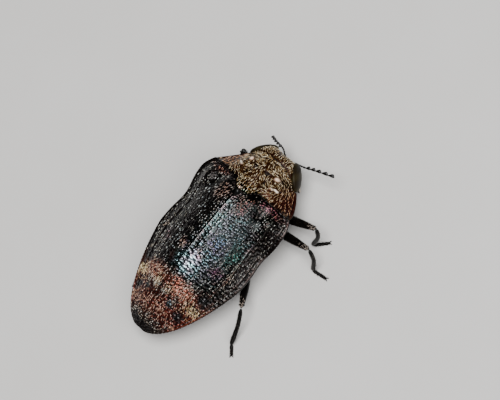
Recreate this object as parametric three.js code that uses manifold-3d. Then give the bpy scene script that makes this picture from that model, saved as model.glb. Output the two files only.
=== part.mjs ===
// Leaf-mining jewel beetle (genus Brachys), a still life-size model standing on its six feet.
// Millimetres. +Y points to the head, +X to the beetle's right, +Z up. The feet stand at z = 0.
import * as THREE from 'three';
import { mergeVertices } from 'three/addons/utils/BufferGeometryUtils.js';
import Module from 'manifold-3d';

// ---------------------------------------------------------------- driving sizes
const GAP = 0.03; // clear space between neighbouring plates
const PITCH = 0.05; // rise of the body towards the head, mm per mm

const MARGIN_Z = 1.0; // height of the side margin of the wing cases at y = 0
const SHOULDER_RISE = 0.16; // how much higher that margin runs at the shoulder
const SHELL = 0.13; // thickness of the wing cases
const SHELL_EDGE = 0.06; // thickness of their outer edge

const APEX_Y = -2.985; // tip of the wing cases
const WIDEST_Y = -0.45; // where the taper to the tip begins
const HALF_WIDTH = 1.52; // half width of the closed wing cases
const TAPER_POWER = 1.22;
const TAPER_ROUND = 0.49;
const WAIST = 0.055; // depth of the side notch behind the shoulder
const WAIST_Y = 0.4;
const WAIST_LENGTH = 0.35;
const SHOULDER_Y = 1.25; // where the shoulder starts to round off
const SHOULDER_LENGTH = 0.45;
const SHOULDER_CUT = 0.1;
const SHOULDER_SWELL = 0.03; // extra half width at the shoulder

const CREST = 0.83; // height of the seam above the side margin
const CREST_Y = 0.6;
const CREST_POWER = 3.0;
const BASE_DROP = 0.14; // fall of the seam towards the scutellum
const KEEL_U = 0.76; // place of the side keel, as a share of the half width
const KEEL_HEIGHT = 0.33; // its height, as a share of the crest
const DISC_POWER = 1.75;

const BASE_Y = 1.73; // hind margin of the pronotum, away from its middle lobe
const LOBE = 0.23; // length of the middle lobe
const LOBE_HALF = 0.3;

const COLLAR_Y = 2.68; // front margin of the pronotum at its middle
const COLLAR_SWEEP = 0.3; // how far its front corners lie behind that
const COLLAR_HALF = 0.88;
const PRONOTUM_HALF = 1.36; // half width at the hind corners
const PRONOTUM_TOP = 0.7; // height of the pronotum above MARGIN_Z
const PRONOTUM_FALL = 0.4; // how much lower its front edge is
const PRONOTUM_SHELL = 0.15;
const CORNER_RISE = 0.15; // height of its hind corners above MARGIN_Z
const EDGE_FALL = 0.37; // how far its side edge falls from there
const EDGE_FALL_LENGTH = 0.25; // and over what length

const BELLY_DEPTH = 0.5; // depth of the belly below the side walls
const WALL_DROP = 0.12; // foot of the side wall below the margin
const INSET = 0.1; // body walls inside the wing cases' margin

const HEAD_HALF = 0.84; // half width of the head without the eyes
const HEAD_FRONT = 2.98;
const FACE_HALF = 0.34; // half width of the flat face
const MOUTH_Z = 0.42;
const FACE_LEAN = 0.22; // how far the mouth lies behind the forehead
const GROOVE = 0.045; // depth of the groove down the face

const EYE = { x: 0.61, y: 2.7, z: 0.93, yaw: 0.7, thick: 0.12, long: 0.395, tall: 0.28 };

// Bumps and hollows of the back, the same on both sides: height, place and spread.
const CASE_BUMPS = {
  shoulderKnob: { height: 0.09, x: 1.17, y: 1.27, wide: 0.15, long: 0.24 },
  shoulderHollow: { height: -0.1, x: 0.82, y: 1.3, wide: 0.16, long: 0.22 },
  baseTubercle: { height: 0.05, x: 0.46, y: 1.47, wide: 0.12, long: 0.1 },
};
const PRONOTUM_BUMPS = {
  middleDome: { height: 0.035, x: 0, y: 2.15, wide: 0.2, long: 0.28 },
  pit: { height: -0.055, x: 0.31, y: 2.04, wide: 0.12, long: 0.17 },
  sideDome: { height: 0.04, x: 0.58, y: 2.22, wide: 0.18, long: 0.18 },
  sideHollow: { height: -0.05, x: 0.92, y: 1.98, wide: 0.17, long: 0.2 },
};

// ---------------------------------------------------------------- small maths
const clamp01 = (t) => Math.min(1, Math.max(0, t));
const smooth = (t) => clamp01(t) ** 2 * (3 - 2 * clamp01(t));
const mix = (a, b, t) => a + (b - a) * t;
const V = (x, y, z) => new THREE.Vector3(x, y, z);

function relief(bumps, x, y) {
  let height = 0;
  for (const bump of Object.values(bumps)) {
    const [across, along] = [(Math.abs(x) - bump.x) / bump.wide, (y - bump.y) / bump.long];
    height += bump.height * Math.exp(-across * across - along * along);
  }
  return height;
}

// ---------------------------------------------------------------- body shape
const lift = (y) => PITCH * y;

// Height of the side margin.
const marginZ = (y) => MARGIN_Z + lift(y) + SHOULDER_RISE * smooth((y - 0.5) / 0.9);

// Half width of the closed wing cases.
function caseHalf(y) {
  if (y < WIDEST_Y) {
    const t = clamp01((WIDEST_Y - y) / (WIDEST_Y - APEX_Y + 0.02));
    return HALF_WIDTH * (1 - t ** TAPER_POWER) ** TAPER_ROUND;
  }
  const waist = WAIST * Math.exp(-(((y - WAIST_Y) / WAIST_LENGTH) ** 2));
  const s = Math.max(0, (y - SHOULDER_Y) / SHOULDER_LENGTH);
  const swell = SHOULDER_SWELL * smooth((y - 0.6) / 0.5);
  return (HALF_WIDTH - waist + swell) * (1 - SHOULDER_CUT * s * s);
}

// Height of the seam above the plane that the side margin follows behind the shoulder.
function crest(y) {
  if (y < CREST_Y) {
    const t = (CREST_Y - y) / (CREST_Y - APEX_Y + 0.07);
    return CREST * (1 - t ** CREST_POWER);
  }
  const s = Math.max(0, (y - 0.9) / 0.6);
  return CREST - BASE_DROP * s * s;
}

// Share of the crest that is left at u, the share of the half width.
function casePitch(u) {
  if (u < KEEL_U) {
    return 1 - (1 - KEEL_HEIGHT) * (u / KEEL_U) ** DISC_POWER;
  }
  return (KEEL_HEIGHT * (1 - u)) / (1 - KEEL_U);
}

function caseTop(x, y) {
  const half = Math.max(caseHalf(y), 0.05);
  const u = clamp01(Math.abs(x) / half);
  const edge = marginZ(y);
  const seam = MARGIN_Z + lift(y) + crest(y);
  return edge + (seam - edge) * casePitch(u) + relief(CASE_BUMPS, x, y);
}

// Hind margin of the pronotum, with its middle lobe.
const baseLine = (x) => BASE_Y - LOBE * Math.exp(-((x / LOBE_HALF) ** 4));

// Front margin of the pronotum.
const collarLine = (x) => COLLAR_Y - COLLAR_SWEEP * Math.abs(x / COLLAR_HALF) ** 2.2;

function pronotumHalf(y) {
  const t = clamp01((y - BASE_Y) / (COLLAR_Y - COLLAR_SWEEP - BASE_Y));
  return mix(PRONOTUM_HALF, COLLAR_HALF, t ** 1.25);
}

// Height of the side edge of the pronotum, which falls quickly from the hind corner.
function pronotumEdge(y) {
  return MARGIN_Z + lift(y) + CORNER_RISE - EDGE_FALL * (1 - Math.exp((BASE_Y - y) / EDGE_FALL_LENGTH));
}

function pronotumTop(x, y) {
  const rise = Math.max(0, (y - 1.5) / 1.18);
  const top = MARGIN_Z + lift(y) + PRONOTUM_TOP - PRONOTUM_FALL * rise ** 2.2;
  const u = clamp01(Math.abs(x) / pronotumHalf(y));
  const edge = pronotumEdge(y);
  return edge + (top - edge) * (1 - u ** 2.1) ** 1.15 + relief(PRONOTUM_BUMPS, x, y);
}

// Underside of all the plates on the back.
function roof(x, y) {
  const room = GAP + 0.03 * smooth((y - 0.7) / 0.3);
  const caseUnder = caseTop(x, Math.min(y, 1.75)) - SHELL - room;
  const shieldUnder = pronotumTop(x, Math.max(y, 1.5)) - PRONOTUM_SHELL - room;
  if (y < 1.44) {
    return caseUnder;
  }
  return y > 1.8 ? shieldUnder : Math.min(caseUnder, shieldUnder);
}

function wallHalf(y) {
  if (y > 1.8) {
    return pronotumHalf(y) - INSET;
  }
  const behind = caseHalf(y) - INSET;
  const ahead = pronotumHalf(Math.max(y, BASE_Y)) - INSET;
  return y < 1.4 ? behind : mix(behind, ahead, (y - 1.4) / 0.4);
}

// Height of the belly at u, the share of the wall's half width.
function belly(u, y) {
  const taper = 1 - 0.45 * smooth((-1.2 - y) / 1.7);
  const throat = 1 - 0.25 * smooth((y - 2.0) / 0.7);
  const bulge = (1 - Math.abs(u) ** 2.6) ** 0.6;
  const chest = pronotumEdge(Math.max(y, BASE_Y)) - 0.08;
  const side = mix(MARGIN_Z + lift(y) - WALL_DROP, chest, smooth((y - 1.6) / 0.5));
  return side - BELLY_DEPTH * taper * throat * bulge;
}

// ---------------------------------------------------------------- mesh builders
function outward(geometry) {
  const p = geometry.attributes.position;
  const index = geometry.index.array;
  let volume = 0;
  const [a, b, c] = [V(0, 0, 0), V(0, 0, 0), V(0, 0, 0)];
  for (let i = 0; i < index.length; i += 3) {
    a.fromBufferAttribute(p, index[i]);
    b.fromBufferAttribute(p, index[i + 1]);
    c.fromBufferAttribute(p, index[i + 2]);
    volume += a.dot(b.cross(c));
  }
  if (volume < 0) {
    for (let i = 0; i < index.length; i += 3) {
      [index[i + 1], index[i + 2]] = [index[i + 2], index[i + 1]];
    }
  }
  geometry.computeVertexNormals();
  return geometry;
}

function toGeometry(points, faces) {
  const geometry = new THREE.BufferGeometry();
  const positions = points.flatMap((p) => p.toArray());
  geometry.setAttribute('position', new THREE.Float32BufferAttribute(positions, 3));
  geometry.setIndex(faces.flat());
  return outward(geometry);
}

// A plate between two sheets, each a function of (u, v) from 0 to 1.
function plate(columns, rows, top, bottom) {
  const points = [];
  for (const sheet of [top, bottom]) {
    for (let j = 0; j <= rows; j += 1) {
      for (let i = 0; i <= columns; i += 1) {
        points.push(sheet(i / columns, j / rows));
      }
    }
  }
  const layer = (columns + 1) * (rows + 1);
  const at = (i, j, under) => under * layer + j * (columns + 1) + i;
  const faces = [];
  const quad = (a, b, c, d) => faces.push([a, b, c], [a, c, d]);
  for (let j = 0; j < rows; j += 1) {
    for (let i = 0; i < columns; i += 1) {
      quad(at(i, j, 0), at(i + 1, j, 0), at(i + 1, j + 1, 0), at(i, j + 1, 0));
      quad(at(i, j, 1), at(i, j + 1, 1), at(i + 1, j + 1, 1), at(i + 1, j, 1));
    }
    quad(at(0, j, 0), at(0, j + 1, 0), at(0, j + 1, 1), at(0, j, 1));
    quad(at(columns, j, 0), at(columns, j, 1), at(columns, j + 1, 1), at(columns, j + 1, 0));
  }
  for (let i = 0; i < columns; i += 1) {
    quad(at(i, 0, 0), at(i, 0, 1), at(i + 1, 0, 1), at(i + 1, 0, 0));
    quad(at(i, rows, 0), at(i + 1, rows, 0), at(i + 1, rows, 1), at(i, rows, 1));
  }
  return toGeometry(points, faces);
}

// A body from closed rings with the same number of points, with a fan over each end.
function skinRings(rings) {
  const sides = rings[0].length;
  const points = rings.flat();
  const faces = [];
  for (let r = 0; r + 1 < rings.length; r += 1) {
    for (let s = 0; s < sides; s += 1) {
      const next = (s + 1) % sides;
      const [a, b] = [r * sides + s, r * sides + next];
      faces.push([a, b, b + sides], [a, b + sides, a + sides]);
    }
  }
  for (const [r, flip] of [[0, true], [rings.length - 1, false]]) {
    const centre = points.length;
    points.push(rings[r].reduce((sum, p) => sum.add(p), V(0, 0, 0)).divideScalar(sides));
    for (let s = 0; s < sides; s += 1) {
      const [a, b] = [r * sides + s, r * sides + ((s + 1) % sides)];
      faces.push(flip ? [centre, b, a] : [centre, a, b]);
    }
  }
  return toGeometry(points, faces);
}

// A limb along a curve; width(t) and depth(t) are half sizes across and along `upright`.
// Points below `floor` are raised to it, which leaves a flat sole when `phase` is 0.
function limb(stops, width, depth, shape = {}) {
  const { steps = 8, sides = 8, upright = V(0, 0, 1), floor = -1, phase = 0.5 } = shape;
  const curve = new THREE.CatmullRomCurve3(stops);
  const rings = [];
  for (let r = 0; r <= steps; r += 1) {
    const t = r / steps;
    const centre = curve.getPoint(t);
    const along = curve.getTangent(t);
    const across = V(0, 0, 0).crossVectors(along, upright).normalize();
    const up = V(0, 0, 0).crossVectors(across, along).normalize();
    const ring = [];
    for (let s = 0; s < sides; s += 1) {
      const angle = (2 * Math.PI * (s + phase)) / sides;
      const point = centre.clone();
      point.addScaledVector(across, width(t) * Math.cos(angle));
      point.addScaledVector(up, depth(t) * Math.sin(angle));
      point.z = Math.max(point.z, floor);
      ring.push(point);
    }
    rings.push(ring);
  }
  return skinRings(rings);
}

function ellipsoid(centre, radii, turn = new THREE.Euler(), columns = 16, rows = 10) {
  const geometry = new THREE.SphereGeometry(1, columns, rows);
  geometry.scale(radii.x, radii.y, radii.z);
  geometry.applyMatrix4(new THREE.Matrix4().makeRotationFromEuler(turn));
  geometry.translate(centre.x, centre.y, centre.z);
  geometry.deleteAttribute('normal');
  geometry.deleteAttribute('uv');
  return outward(mergeVertices(geometry, 1e-5));
}

// ---------------------------------------------------------------- joining and cutting
const wasm = await Module();
wasm.setup();

function toSolid(geometry) {
  const bare = new THREE.BufferGeometry();
  bare.setAttribute('position', geometry.attributes.position);
  bare.setIndex(geometry.index);
  const merged = mergeVertices(bare, 1e-5);
  const vertProperties = new Float32Array(merged.attributes.position.array);
  const triVerts = new Uint32Array(merged.index.array);
  return new wasm.Manifold(new wasm.Mesh({ numProp: 3, vertProperties, triVerts }));
}

function fromSolid(solid) {
  const mesh = solid.getMesh();
  const geometry = new THREE.BufferGeometry();
  geometry.setAttribute('position', new THREE.BufferAttribute(new Float32Array(mesh.vertProperties), 3));
  geometry.setIndex(new THREE.BufferAttribute(new Uint32Array(mesh.triVerts), 1));
  return outward(geometry);
}

const joined = (list) => fromSolid(list.map(toSolid).reduce((sum, solid) => sum.add(solid)));

function cut(body, tools) {
  let rest = toSolid(body);
  for (const tool of tools) {
    rest = rest.subtract(toSolid(tool));
  }
  return fromSolid(rest);
}

// ---------------------------------------------------------------- materials
function finish(color, roughness, metalness) {
  return new THREE.MeshStandardMaterial({ color, roughness, metalness });
}

const MATERIALS = {
  bronze: () => finish(0x5a4228, 0.45, 0.6),
  teal: () => finish(0x2c4a52, 0.35, 0.7),
  plate: () => finish(0x1c1714, 0.35, 0.5),
  limb: () => finish(0x11100f, 0.25, 0.3),
  eye: () => finish(0x2d3412, 0.2, 0.0),
};

const beetle = new THREE.Group();

function add(name, geometry, material) {
  const mesh = new THREE.Mesh(geometry, MATERIALS[material]());
  mesh.name = name;
  beetle.add(mesh);
}

const SIDES = [['left', -1], ['right', 1]];

// ---------------------------------------------------------------- wing cases and scutellum
const SCUTELLUM = { halfWidth: 0.1, front: 1.47, tip: 1.25 };

// Inner edge of a wing case, which turns round the scutellum.
function seamEdge(y) {
  const t = clamp01((y - SCUTELLUM.tip) / (SCUTELLUM.front - SCUTELLUM.tip));
  return GAP / 2 + t * (SCUTELLUM.halfWidth + GAP / 2);
}

function wingCase(side) {
  const place = (u, v) => {
    const start = baseLine(u * PRONOTUM_HALF) - GAP;
    const y = mix(start, APEX_Y, 1 - (1 - v) ** 1.12);
    return [side * mix(seamEdge(y), caseHalf(y), u), y];
  };
  const top = (u, v) => {
    const [x, y] = place(u, v);
    return V(x, y, caseTop(x, y));
  };
  const bottom = (u, v) => {
    const [x, y] = place(u, v);
    return V(x, y, caseTop(x, y) - mix(SHELL, SHELL_EDGE, u ** 6));
  };
  return plate(12, 14, top, bottom);
}

for (const [name, side] of SIDES) {
  add(`elytron_${name}`, wingCase(side), 'teal');
}

function scutellum() {
  const place = (u, v) => {
    const y = mix(SCUTELLUM.front - 0.005, SCUTELLUM.tip + 0.02, v);
    return [(2 * u - 1) * mix(SCUTELLUM.halfWidth, 0.012, v), y];
  };
  const sheet = (drop) => (u, v) => {
    const [x, y] = place(u, v);
    return V(x, y, caseTop(x, y) - drop);
  };
  return plate(2, 3, sheet(0.01), sheet(SHELL));
}

add('scutellum', scutellum(), 'plate');

// ---------------------------------------------------------------- eyes and pronotum
function eye(side, grow) {
  const radii = V(EYE.thick + grow, EYE.long + grow, EYE.tall + grow);
  const turn = new THREE.Euler(0, 0, side * EYE.yaw);
  return ellipsoid(V(side * EYE.x, EYE.y, EYE.z), radii, turn, 12, 8);
}

const sockets = SIDES.map(([, side]) => eye(side, GAP));
for (const [name, side] of SIDES) {
  add(`eye_${name}`, eye(side, 0), 'eye');
}

function pronotum() {
  const place = (u, v) => {
    const s = 2 * u - 1;
    const y = mix(baseLine(s * PRONOTUM_HALF), collarLine(s * COLLAR_HALF), v);
    return [s * pronotumHalf(y), y, s];
  };
  const top = (u, v) => {
    const [x, y] = place(u, v);
    return V(x, y, pronotumTop(x, y));
  };
  const bottom = (u, v) => {
    const [x, y, s] = place(u, v);
    return V(x, y, pronotumTop(x, y) - mix(PRONOTUM_SHELL, SHELL_EDGE, Math.abs(s) ** 6));
  };
  return plate(18, 7, top, bottom);
}

add('pronotum', cut(pronotum(), sockets), 'bronze');

// ---------------------------------------------------------------- underside
// A slice of the body from y = rear to the line front(x), under the plates of the back.
function slice(rear, front, columns, rows) {
  const place = (u, v) => {
    const s = 2 * u - 1;
    const y = mix(rear, front(s * COLLAR_HALF), v);
    return [s * wallHalf(y), y, s];
  };
  const top = (u, v) => {
    const [x, y] = place(u, v);
    return V(x, y, roof(x, y));
  };
  const bottom = (u, v) => {
    const [x, y, s] = place(u, v);
    return V(x, y, Math.min(belly(s, y), roof(x, y) - 0.03));
  };
  return plate(columns, rows, top, bottom);
}

const straight = (y) => () => y;

// Coxae: place under the body, half sizes and turn about Z.
const COXAE = {
  front: { x: 0.38, y: 1.7, z: 0.44, size: V(0.25, 0.19, 0.18), turn: -0.2 },
  middle: { x: 0.44, y: 1.25, z: 0.42, size: V(0.26, 0.18, 0.16), turn: 0.1 },
  hind: { x: 0.5, y: 0.2, z: 0.46, size: V(0.44, 0.15, 0.12), turn: -0.1 },
};

function coxa(spec, side, grow) {
  const radii = spec.size.clone().addScalar(grow);
  const turn = new THREE.Euler(0, side * -0.12, side * spec.turn);
  return ellipsoid(V(side * spec.x, spec.y, spec.z + lift(spec.y)), radii, turn, 10, 6);
}

const pits = (...names) => names.flatMap((name) => SIDES.map(([, side]) => coxa(COXAE[name], side, GAP)));

const chest = slice(1.46, (x) => collarLine(x) - 0.01, 10, 5);
add('prosternum', cut(chest, [...pits('front', 'middle'), ...sockets]), 'plate');
add('mesosternum', cut(slice(1.1, straight(1.43), 10, 2), pits('front', 'middle')), 'plate');
add('metasternum', cut(slice(0.03, straight(1.07), 10, 4), pits('middle', 'hind')), 'plate');

const RINGS_OF_ABDOMEN = [
  ['ventrite_1', -1.0, 0.0],
  ['ventrite_3', -1.62, -1.03],
  ['ventrite_4', -2.2, -1.65],
  ['ventrite_5', -2.9, -2.23],
];
for (const [name, rear, front] of RINGS_OF_ABDOMEN) {
  const block = slice(rear, straight(front), 10, 3);
  add(name, name === 'ventrite_1' ? cut(block, pits('hind')) : block, 'plate');
}

// ---------------------------------------------------------------- head
const headBack = (x) => collarLine(x) + GAP;

function headFront(x) {
  const t = clamp01((Math.abs(x) - FACE_HALF) / (HEAD_HALF + 0.06 - FACE_HALF));
  return HEAD_FRONT - 0.5 * t ** 1.35;
}

function head() {
  const rings = [];
  const [stations, arc] = [16, 10];
  for (let i = 0; i <= stations; i += 1) {
    const x = HEAD_HALF * Math.sin((Math.PI / 2) * (2 * i / stations - 1));
    const back = headBack(x);
    const depth = Math.max(headFront(x) - back, 0.05);
    const top = pronotumTop(x, collarLine(x)) - 0.02;
    const low = MOUTH_Z + 0.22 * Math.abs(x / HEAD_HALF) ** 3;
    const groove = 1 - (GROOVE / depth) * Math.exp(-((x / 0.075) ** 2));
    const ring = [];
    for (let k = 0; k <= arc; k += 1) {
      const angle = (Math.PI * k) / arc;
      const z = mix(top, low, (1 - Math.cos(angle)) / 2);
      const lean = FACE_LEAN * clamp01((top - z) / (top - low)) ** 2.2;
      const reach = Math.sin(angle) ** 0.7 * Math.max(depth * groove - lean, 0.04);
      ring.push(V(x, back + reach, z));
    }
    rings.push(ring);
  }
  return skinRings(rings);
}

add('head', cut(head(), sockets), 'bronze');

// ---------------------------------------------------------------- mouth parts
const LABRUM = { y: 2.8, z: 0.4, size: V(0.12, 0.05, 0.05) };
const PALP_HALF = 0.028;
add('labrum', ellipsoid(V(0, LABRUM.y, LABRUM.z), LABRUM.size, new THREE.Euler(0.5, 0, 0), 10, 6), 'limb');

for (const [name, side] of SIDES) {
  const jaw = [V(side * 0.18, 2.76, 0.39), V(side * 0.14, 2.79, 0.31), V(side * 0.035, 2.81, 0.25)];
  const jawShape = { steps: 3, sides: 6 };
  add(`mandible_${name}`, limb(jaw, (t) => 0.05 - 0.035 * t, (t) => 0.06 - 0.04 * t, jawShape), 'limb');
  const palp = [V(side * 0.28, 2.7, 0.39), V(side * 0.31, 2.74, 0.32), V(side * 0.26, 2.8, 0.26)];
  const palpShape = { steps: 4, sides: 5, upright: V(1, 0, 0) };
  add(`palp_${name}`, limb(palp, () => PALP_HALF, () => PALP_HALF, palpShape), 'limb');
}

// ---------------------------------------------------------------- antennae
// Eleven segments: two thick ones, four slender ones, five saw-toothed ones.
const ANTENNA_SEGMENTS = 11;
const ANTENNA_TOOTH_FROM = 6;

function antennaHalf(t) {
  const place = t * ANTENNA_SEGMENTS;
  const segment = Math.min(ANTENNA_SEGMENTS - 1, Math.floor(place));
  const within = place - segment;
  if (segment < 2) {
    return 0.034 + 0.016 * Math.sin(Math.PI * clamp01(within));
  }
  if (segment < ANTENNA_TOOTH_FROM) {
    return 0.024 + 0.006 * within;
  }
  return 0.026 + 0.026 * Math.sin(Math.PI * clamp01(within) ** 1.6);
}

// Way of each antenna, from its socket on the face to its tip.
const ANTENNAE = {
  left: [
    V(-0.17, 2.92, 0.68),
    V(-0.21, 2.99, 0.73),
    V(-0.3, 3.06, 0.81),
    V(-0.46, 3.09, 1.02),
    V(-0.56, 3.13, 1.24),
  ],
  right: [
    V(0.17, 2.92, 0.68),
    V(0.28, 2.99, 0.67),
    V(0.46, 3.04, 0.69),
    V(0.86, 3.18, 0.79),
    V(1.39, 3.36, 0.86),
  ],
};
for (const [name] of SIDES) {
  const shape = { steps: 33, sides: 5, upright: V(0.2, -0.3, 1) };
  add(`antenna_${name}`, limb(ANTENNAE[name], antennaHalf, (t) => antennaHalf(t) * 0.75, shape), 'limb');
}

// ---------------------------------------------------------------- legs
// Stops of each leg: root of the thigh, its sag, the knee, the reach from there to the start of
// the shin, the bend of the shin, ankle and toe.
const LEGS = {
  front_right: {
    kind: 'front',
    root: V(0.65, 1.635, 0.445),
    sag: 0.02,
    knee: V(2.0, 2.03, 0.93),
    reach: 0.08,
    bend: V(2.04, 1.9, 0.6),
    ankle: V(1.85, 1.66, 0.105),
    toe: V(2.17, 1.99, 0.05),
  },
  front_left: {
    kind: 'front',
    root: V(-0.64, 1.58, 0.4),
    sag: 0.13,
    knee: V(-1.14, 2.35, 0.86),
    reach: 0.12,
    bend: V(-1.13, 2.3, 0.48),
    ankle: V(-1.02, 1.96, 0.105),
    toe: V(-1.14, 2.4, 0.05),
  },
  middle_right: {
    kind: 'middle',
    root: V(0.71, 1.285, 0.42),
    sag: 0.02,
    knee: V(2.22, 1.5, 0.92),
    reach: 0.07,
    bend: V(2.36, 1.38, 0.58),
    ankle: V(2.34, 1.16, 0.105),
    toe: V(2.76, 1.22, 0.05),
  },
  middle_left: {
    kind: 'middle',
    root: V(-0.71, 1.2, 0.405),
    sag: 0.09,
    knee: V(-1.4, 0.02, 0.66),
    reach: 0.055,
    bend: V(-1.5, -0.2, 0.4),
    ankle: V(-1.56, -0.5, 0.105),
    toe: V(-1.68, -0.88, 0.05),
  },
  hind_right: {
    kind: 'hind',
    root: V(0.95, 0.18, 0.425),
    sag: 0.05,
    knee: V(1.81, -0.82, 0.79),
    reach: 0.06,
    bend: V(1.92, -1.22, 0.46),
    ankle: V(1.98, -1.74, 0.105),
    toe: V(2.17, -1.94, 0.05),
  },
  hind_left: {
    kind: 'hind',
    root: V(-0.92, 0.15, 0.42),
    sag: 0.1,
    knee: V(-1.38, -1.04, 0.64),
    reach: 0.055,
    bend: V(-1.44, -1.42, 0.4),
    ankle: V(-1.42, -1.9, 0.105),
    toe: V(-1.28, -2.3, 0.05),
  },
};

const FEMUR_HALF = 0.112; // half width of the broad, flat thigh
const FEMUR_FLAT = 0.62; // its thickness as a share of its width
const TIBIA_HALF = 0.058;
const ANKLE_REACH = 0.035; // from the end of the shin to the start of the foot
const FOOT_HALF = 0.05;
const FOOT_Z = 0.021; // height of its middle, low enough to leave a flat sole
const FOOT_SEGMENTS = 5;
const CLAW = 0.085; // length of a claw
const CLAW_HALF = 0.02;

const between = (a, b, t, bow) => a.clone().lerp(b, t).add(V(0, 0, bow));
const roundEnds = (t) => Math.max(0.3, 1 - Math.abs(2 * t - 1) ** 8) ** 0.5;

function femur(spec) {
  const swell = (t) => 0.7 + 0.3 * Math.sin(Math.PI * (0.1 + 0.75 * t));
  const half = (t) => FEMUR_HALF * roundEnds(t) * swell(t);
  const stops = [spec.root, between(spec.root, spec.knee, 0.5, -spec.sag), spec.knee];
  return limb(stops, half, (t) => half(t) * FEMUR_FLAT, { steps: 8, sides: 8 });
}

function tibia(spec) {
  const start = spec.knee.clone().add(spec.bend.clone().sub(spec.knee).setLength(spec.reach));
  const half = (t) => TIBIA_HALF * roundEnds(t) * (0.85 + 0.2 * t);
  const shape = { steps: 6, sides: 6, upright: V(1, 0.3, 0) };
  return limb([start, spec.bend, spec.ankle], half, half, shape);
}

function claw(spec, ahead, side) {
  const aside = V(-ahead.y, ahead.x, 0);
  const root = spec.toe.clone().addScaledVector(ahead, -0.03).setZ(FOOT_Z + 0.01);
  const bend = root.clone().addScaledVector(ahead, CLAW * 0.75);
  bend.addScaledVector(aside, side * CLAW * 0.4).setZ(0.055);
  const tip = root.clone().addScaledVector(ahead, CLAW);
  tip.addScaledVector(aside, side * CLAW * 0.6).setZ(0.016);
  const half = (t) => CLAW_HALF * (1 - 0.6 * t);
  return limb([root, bend, tip], half, half, { steps: 3, sides: 4, floor: 0 });
}

// The foot: five lobed segments with flat soles on the ground, and two claws.
function tarsus(spec) {
  const reach = spec.toe.clone().sub(spec.ankle).setZ(0).setLength(ANKLE_REACH);
  const start = spec.ankle.clone().add(reach).setZ(FOOT_Z + 0.02);
  const middle = start.clone().lerp(spec.toe, 0.5).setZ(FOOT_Z);
  const stops = [start, middle, spec.toe.clone().setZ(FOOT_Z)];
  const half = (t) => FOOT_HALF * (0.72 + 0.28 * Math.sin(Math.PI * ((t * FOOT_SEGMENTS) % 1)));
  const shape = { steps: 2 * FOOT_SEGMENTS, sides: 6, floor: 0, phase: 0 };
  const pads = limb(stops, half, (t) => half(t) * 0.85, shape);
  const ahead = spec.toe.clone().sub(start).setZ(0).normalize();
  return joined([pads, ...SIDES.map(([, side]) => claw(spec, ahead, side))]);
}

for (const [name, spec] of Object.entries(LEGS)) {
  const side = name.endsWith('left') ? -1 : 1;
  add(`coxa_${name}`, coxa(COXAE[spec.kind], side, 0), 'limb');
  add(`femur_${name}`, femur(spec), 'limb');
  add(`tibia_${name}`, tibia(spec), 'limb');
  add(`tarsus_${name}`, tarsus(spec), 'limb');
}

// The origin lies on the ground under the middle of the whole model.
const middle = new THREE.Box3().setFromObject(beetle).getCenter(V(0, 0, 0));
for (const mesh of beetle.children) {
  mesh.geometry.translate(-middle.x, -middle.y, 0);
}

export default beetle;
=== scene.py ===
"""A small flattened jewel beetle (genus Brachys), life size, standing still as a museum model.

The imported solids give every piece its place. This file makes the fine surface over them: the
pitted metallic wing cases, the haired pronotum and head, the faceted eyes, the jointed feelers
and legs, the belly plates and the coat of short hairs, and it sets the stage.
"""

import math

import bpy
import numpy as np
from bpy.props import FloatProperty, FloatVectorProperty, IntProperty, PointerProperty
from mathutils import Matrix, Vector


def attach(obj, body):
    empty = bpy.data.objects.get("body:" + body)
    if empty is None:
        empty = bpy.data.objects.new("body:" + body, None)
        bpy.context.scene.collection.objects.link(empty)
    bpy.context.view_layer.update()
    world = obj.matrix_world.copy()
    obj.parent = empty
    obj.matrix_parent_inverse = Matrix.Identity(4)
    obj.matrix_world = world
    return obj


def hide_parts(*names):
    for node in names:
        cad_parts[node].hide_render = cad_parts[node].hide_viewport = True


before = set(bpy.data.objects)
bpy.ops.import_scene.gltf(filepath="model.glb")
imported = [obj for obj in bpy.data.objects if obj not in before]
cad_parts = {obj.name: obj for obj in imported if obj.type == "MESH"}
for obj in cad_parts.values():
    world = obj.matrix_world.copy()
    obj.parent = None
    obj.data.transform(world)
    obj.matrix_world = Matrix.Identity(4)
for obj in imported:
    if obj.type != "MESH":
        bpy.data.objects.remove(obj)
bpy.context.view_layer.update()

bl_info = {
    "name": "Jewel beetle",
    "version": (1, 0, 0),
    "blender": (4, 5, 0),
    "location": "3D View > Sidebar > Beetle",
    "description": "Dresses the packed solids of a small jewel beetle and sets its stage",
    "category": "Add Mesh",
}

MM = 0.001
SIDES = {"left": -1, "right": 1}
UP = (0, 0, 1)

# ---------------------------------------------------------------- driving sizes, in mm
# The body's own frame has y = 0 behind the middle, +y to the head and x = 0 on the midline.
PITCH = 0.05  # rise of the body towards the head, mm per mm
MARGIN_Z = 1.0
SHOULDER_RISE = 0.16
SHOULDER_RISE_Y = 0.5
SHOULDER_RISE_LENGTH = 0.9
SHELL = 0.13
SHELL_EDGE = 0.06
GAP = 0.03
SEAM = 0.003  # half of the closed seam between the wing cases

APEX_Y = -2.985
WIDEST_Y = -0.45
HALF_WIDTH = 1.52
TAPER_POWER = 1.22
TAPER_ROUND = 0.49
WAIST = 0.055
WAIST_Y = 0.4
WAIST_LENGTH = 0.35
SHOULDER_Y = 1.25
SHOULDER_LENGTH = 0.45
SHOULDER_CUT = 0.1
SHOULDER_SWELL = 0.03

CREST = 0.83
CREST_Y = 0.6
CREST_POWER = 3.0
BASE_DROP = 0.14
BASE_DROP_Y = 0.9
BASE_DROP_LENGTH = 0.6
KEEL_U = 0.76
KEEL_HEIGHT = 0.33
DISC_POWER = 1.75

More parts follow.
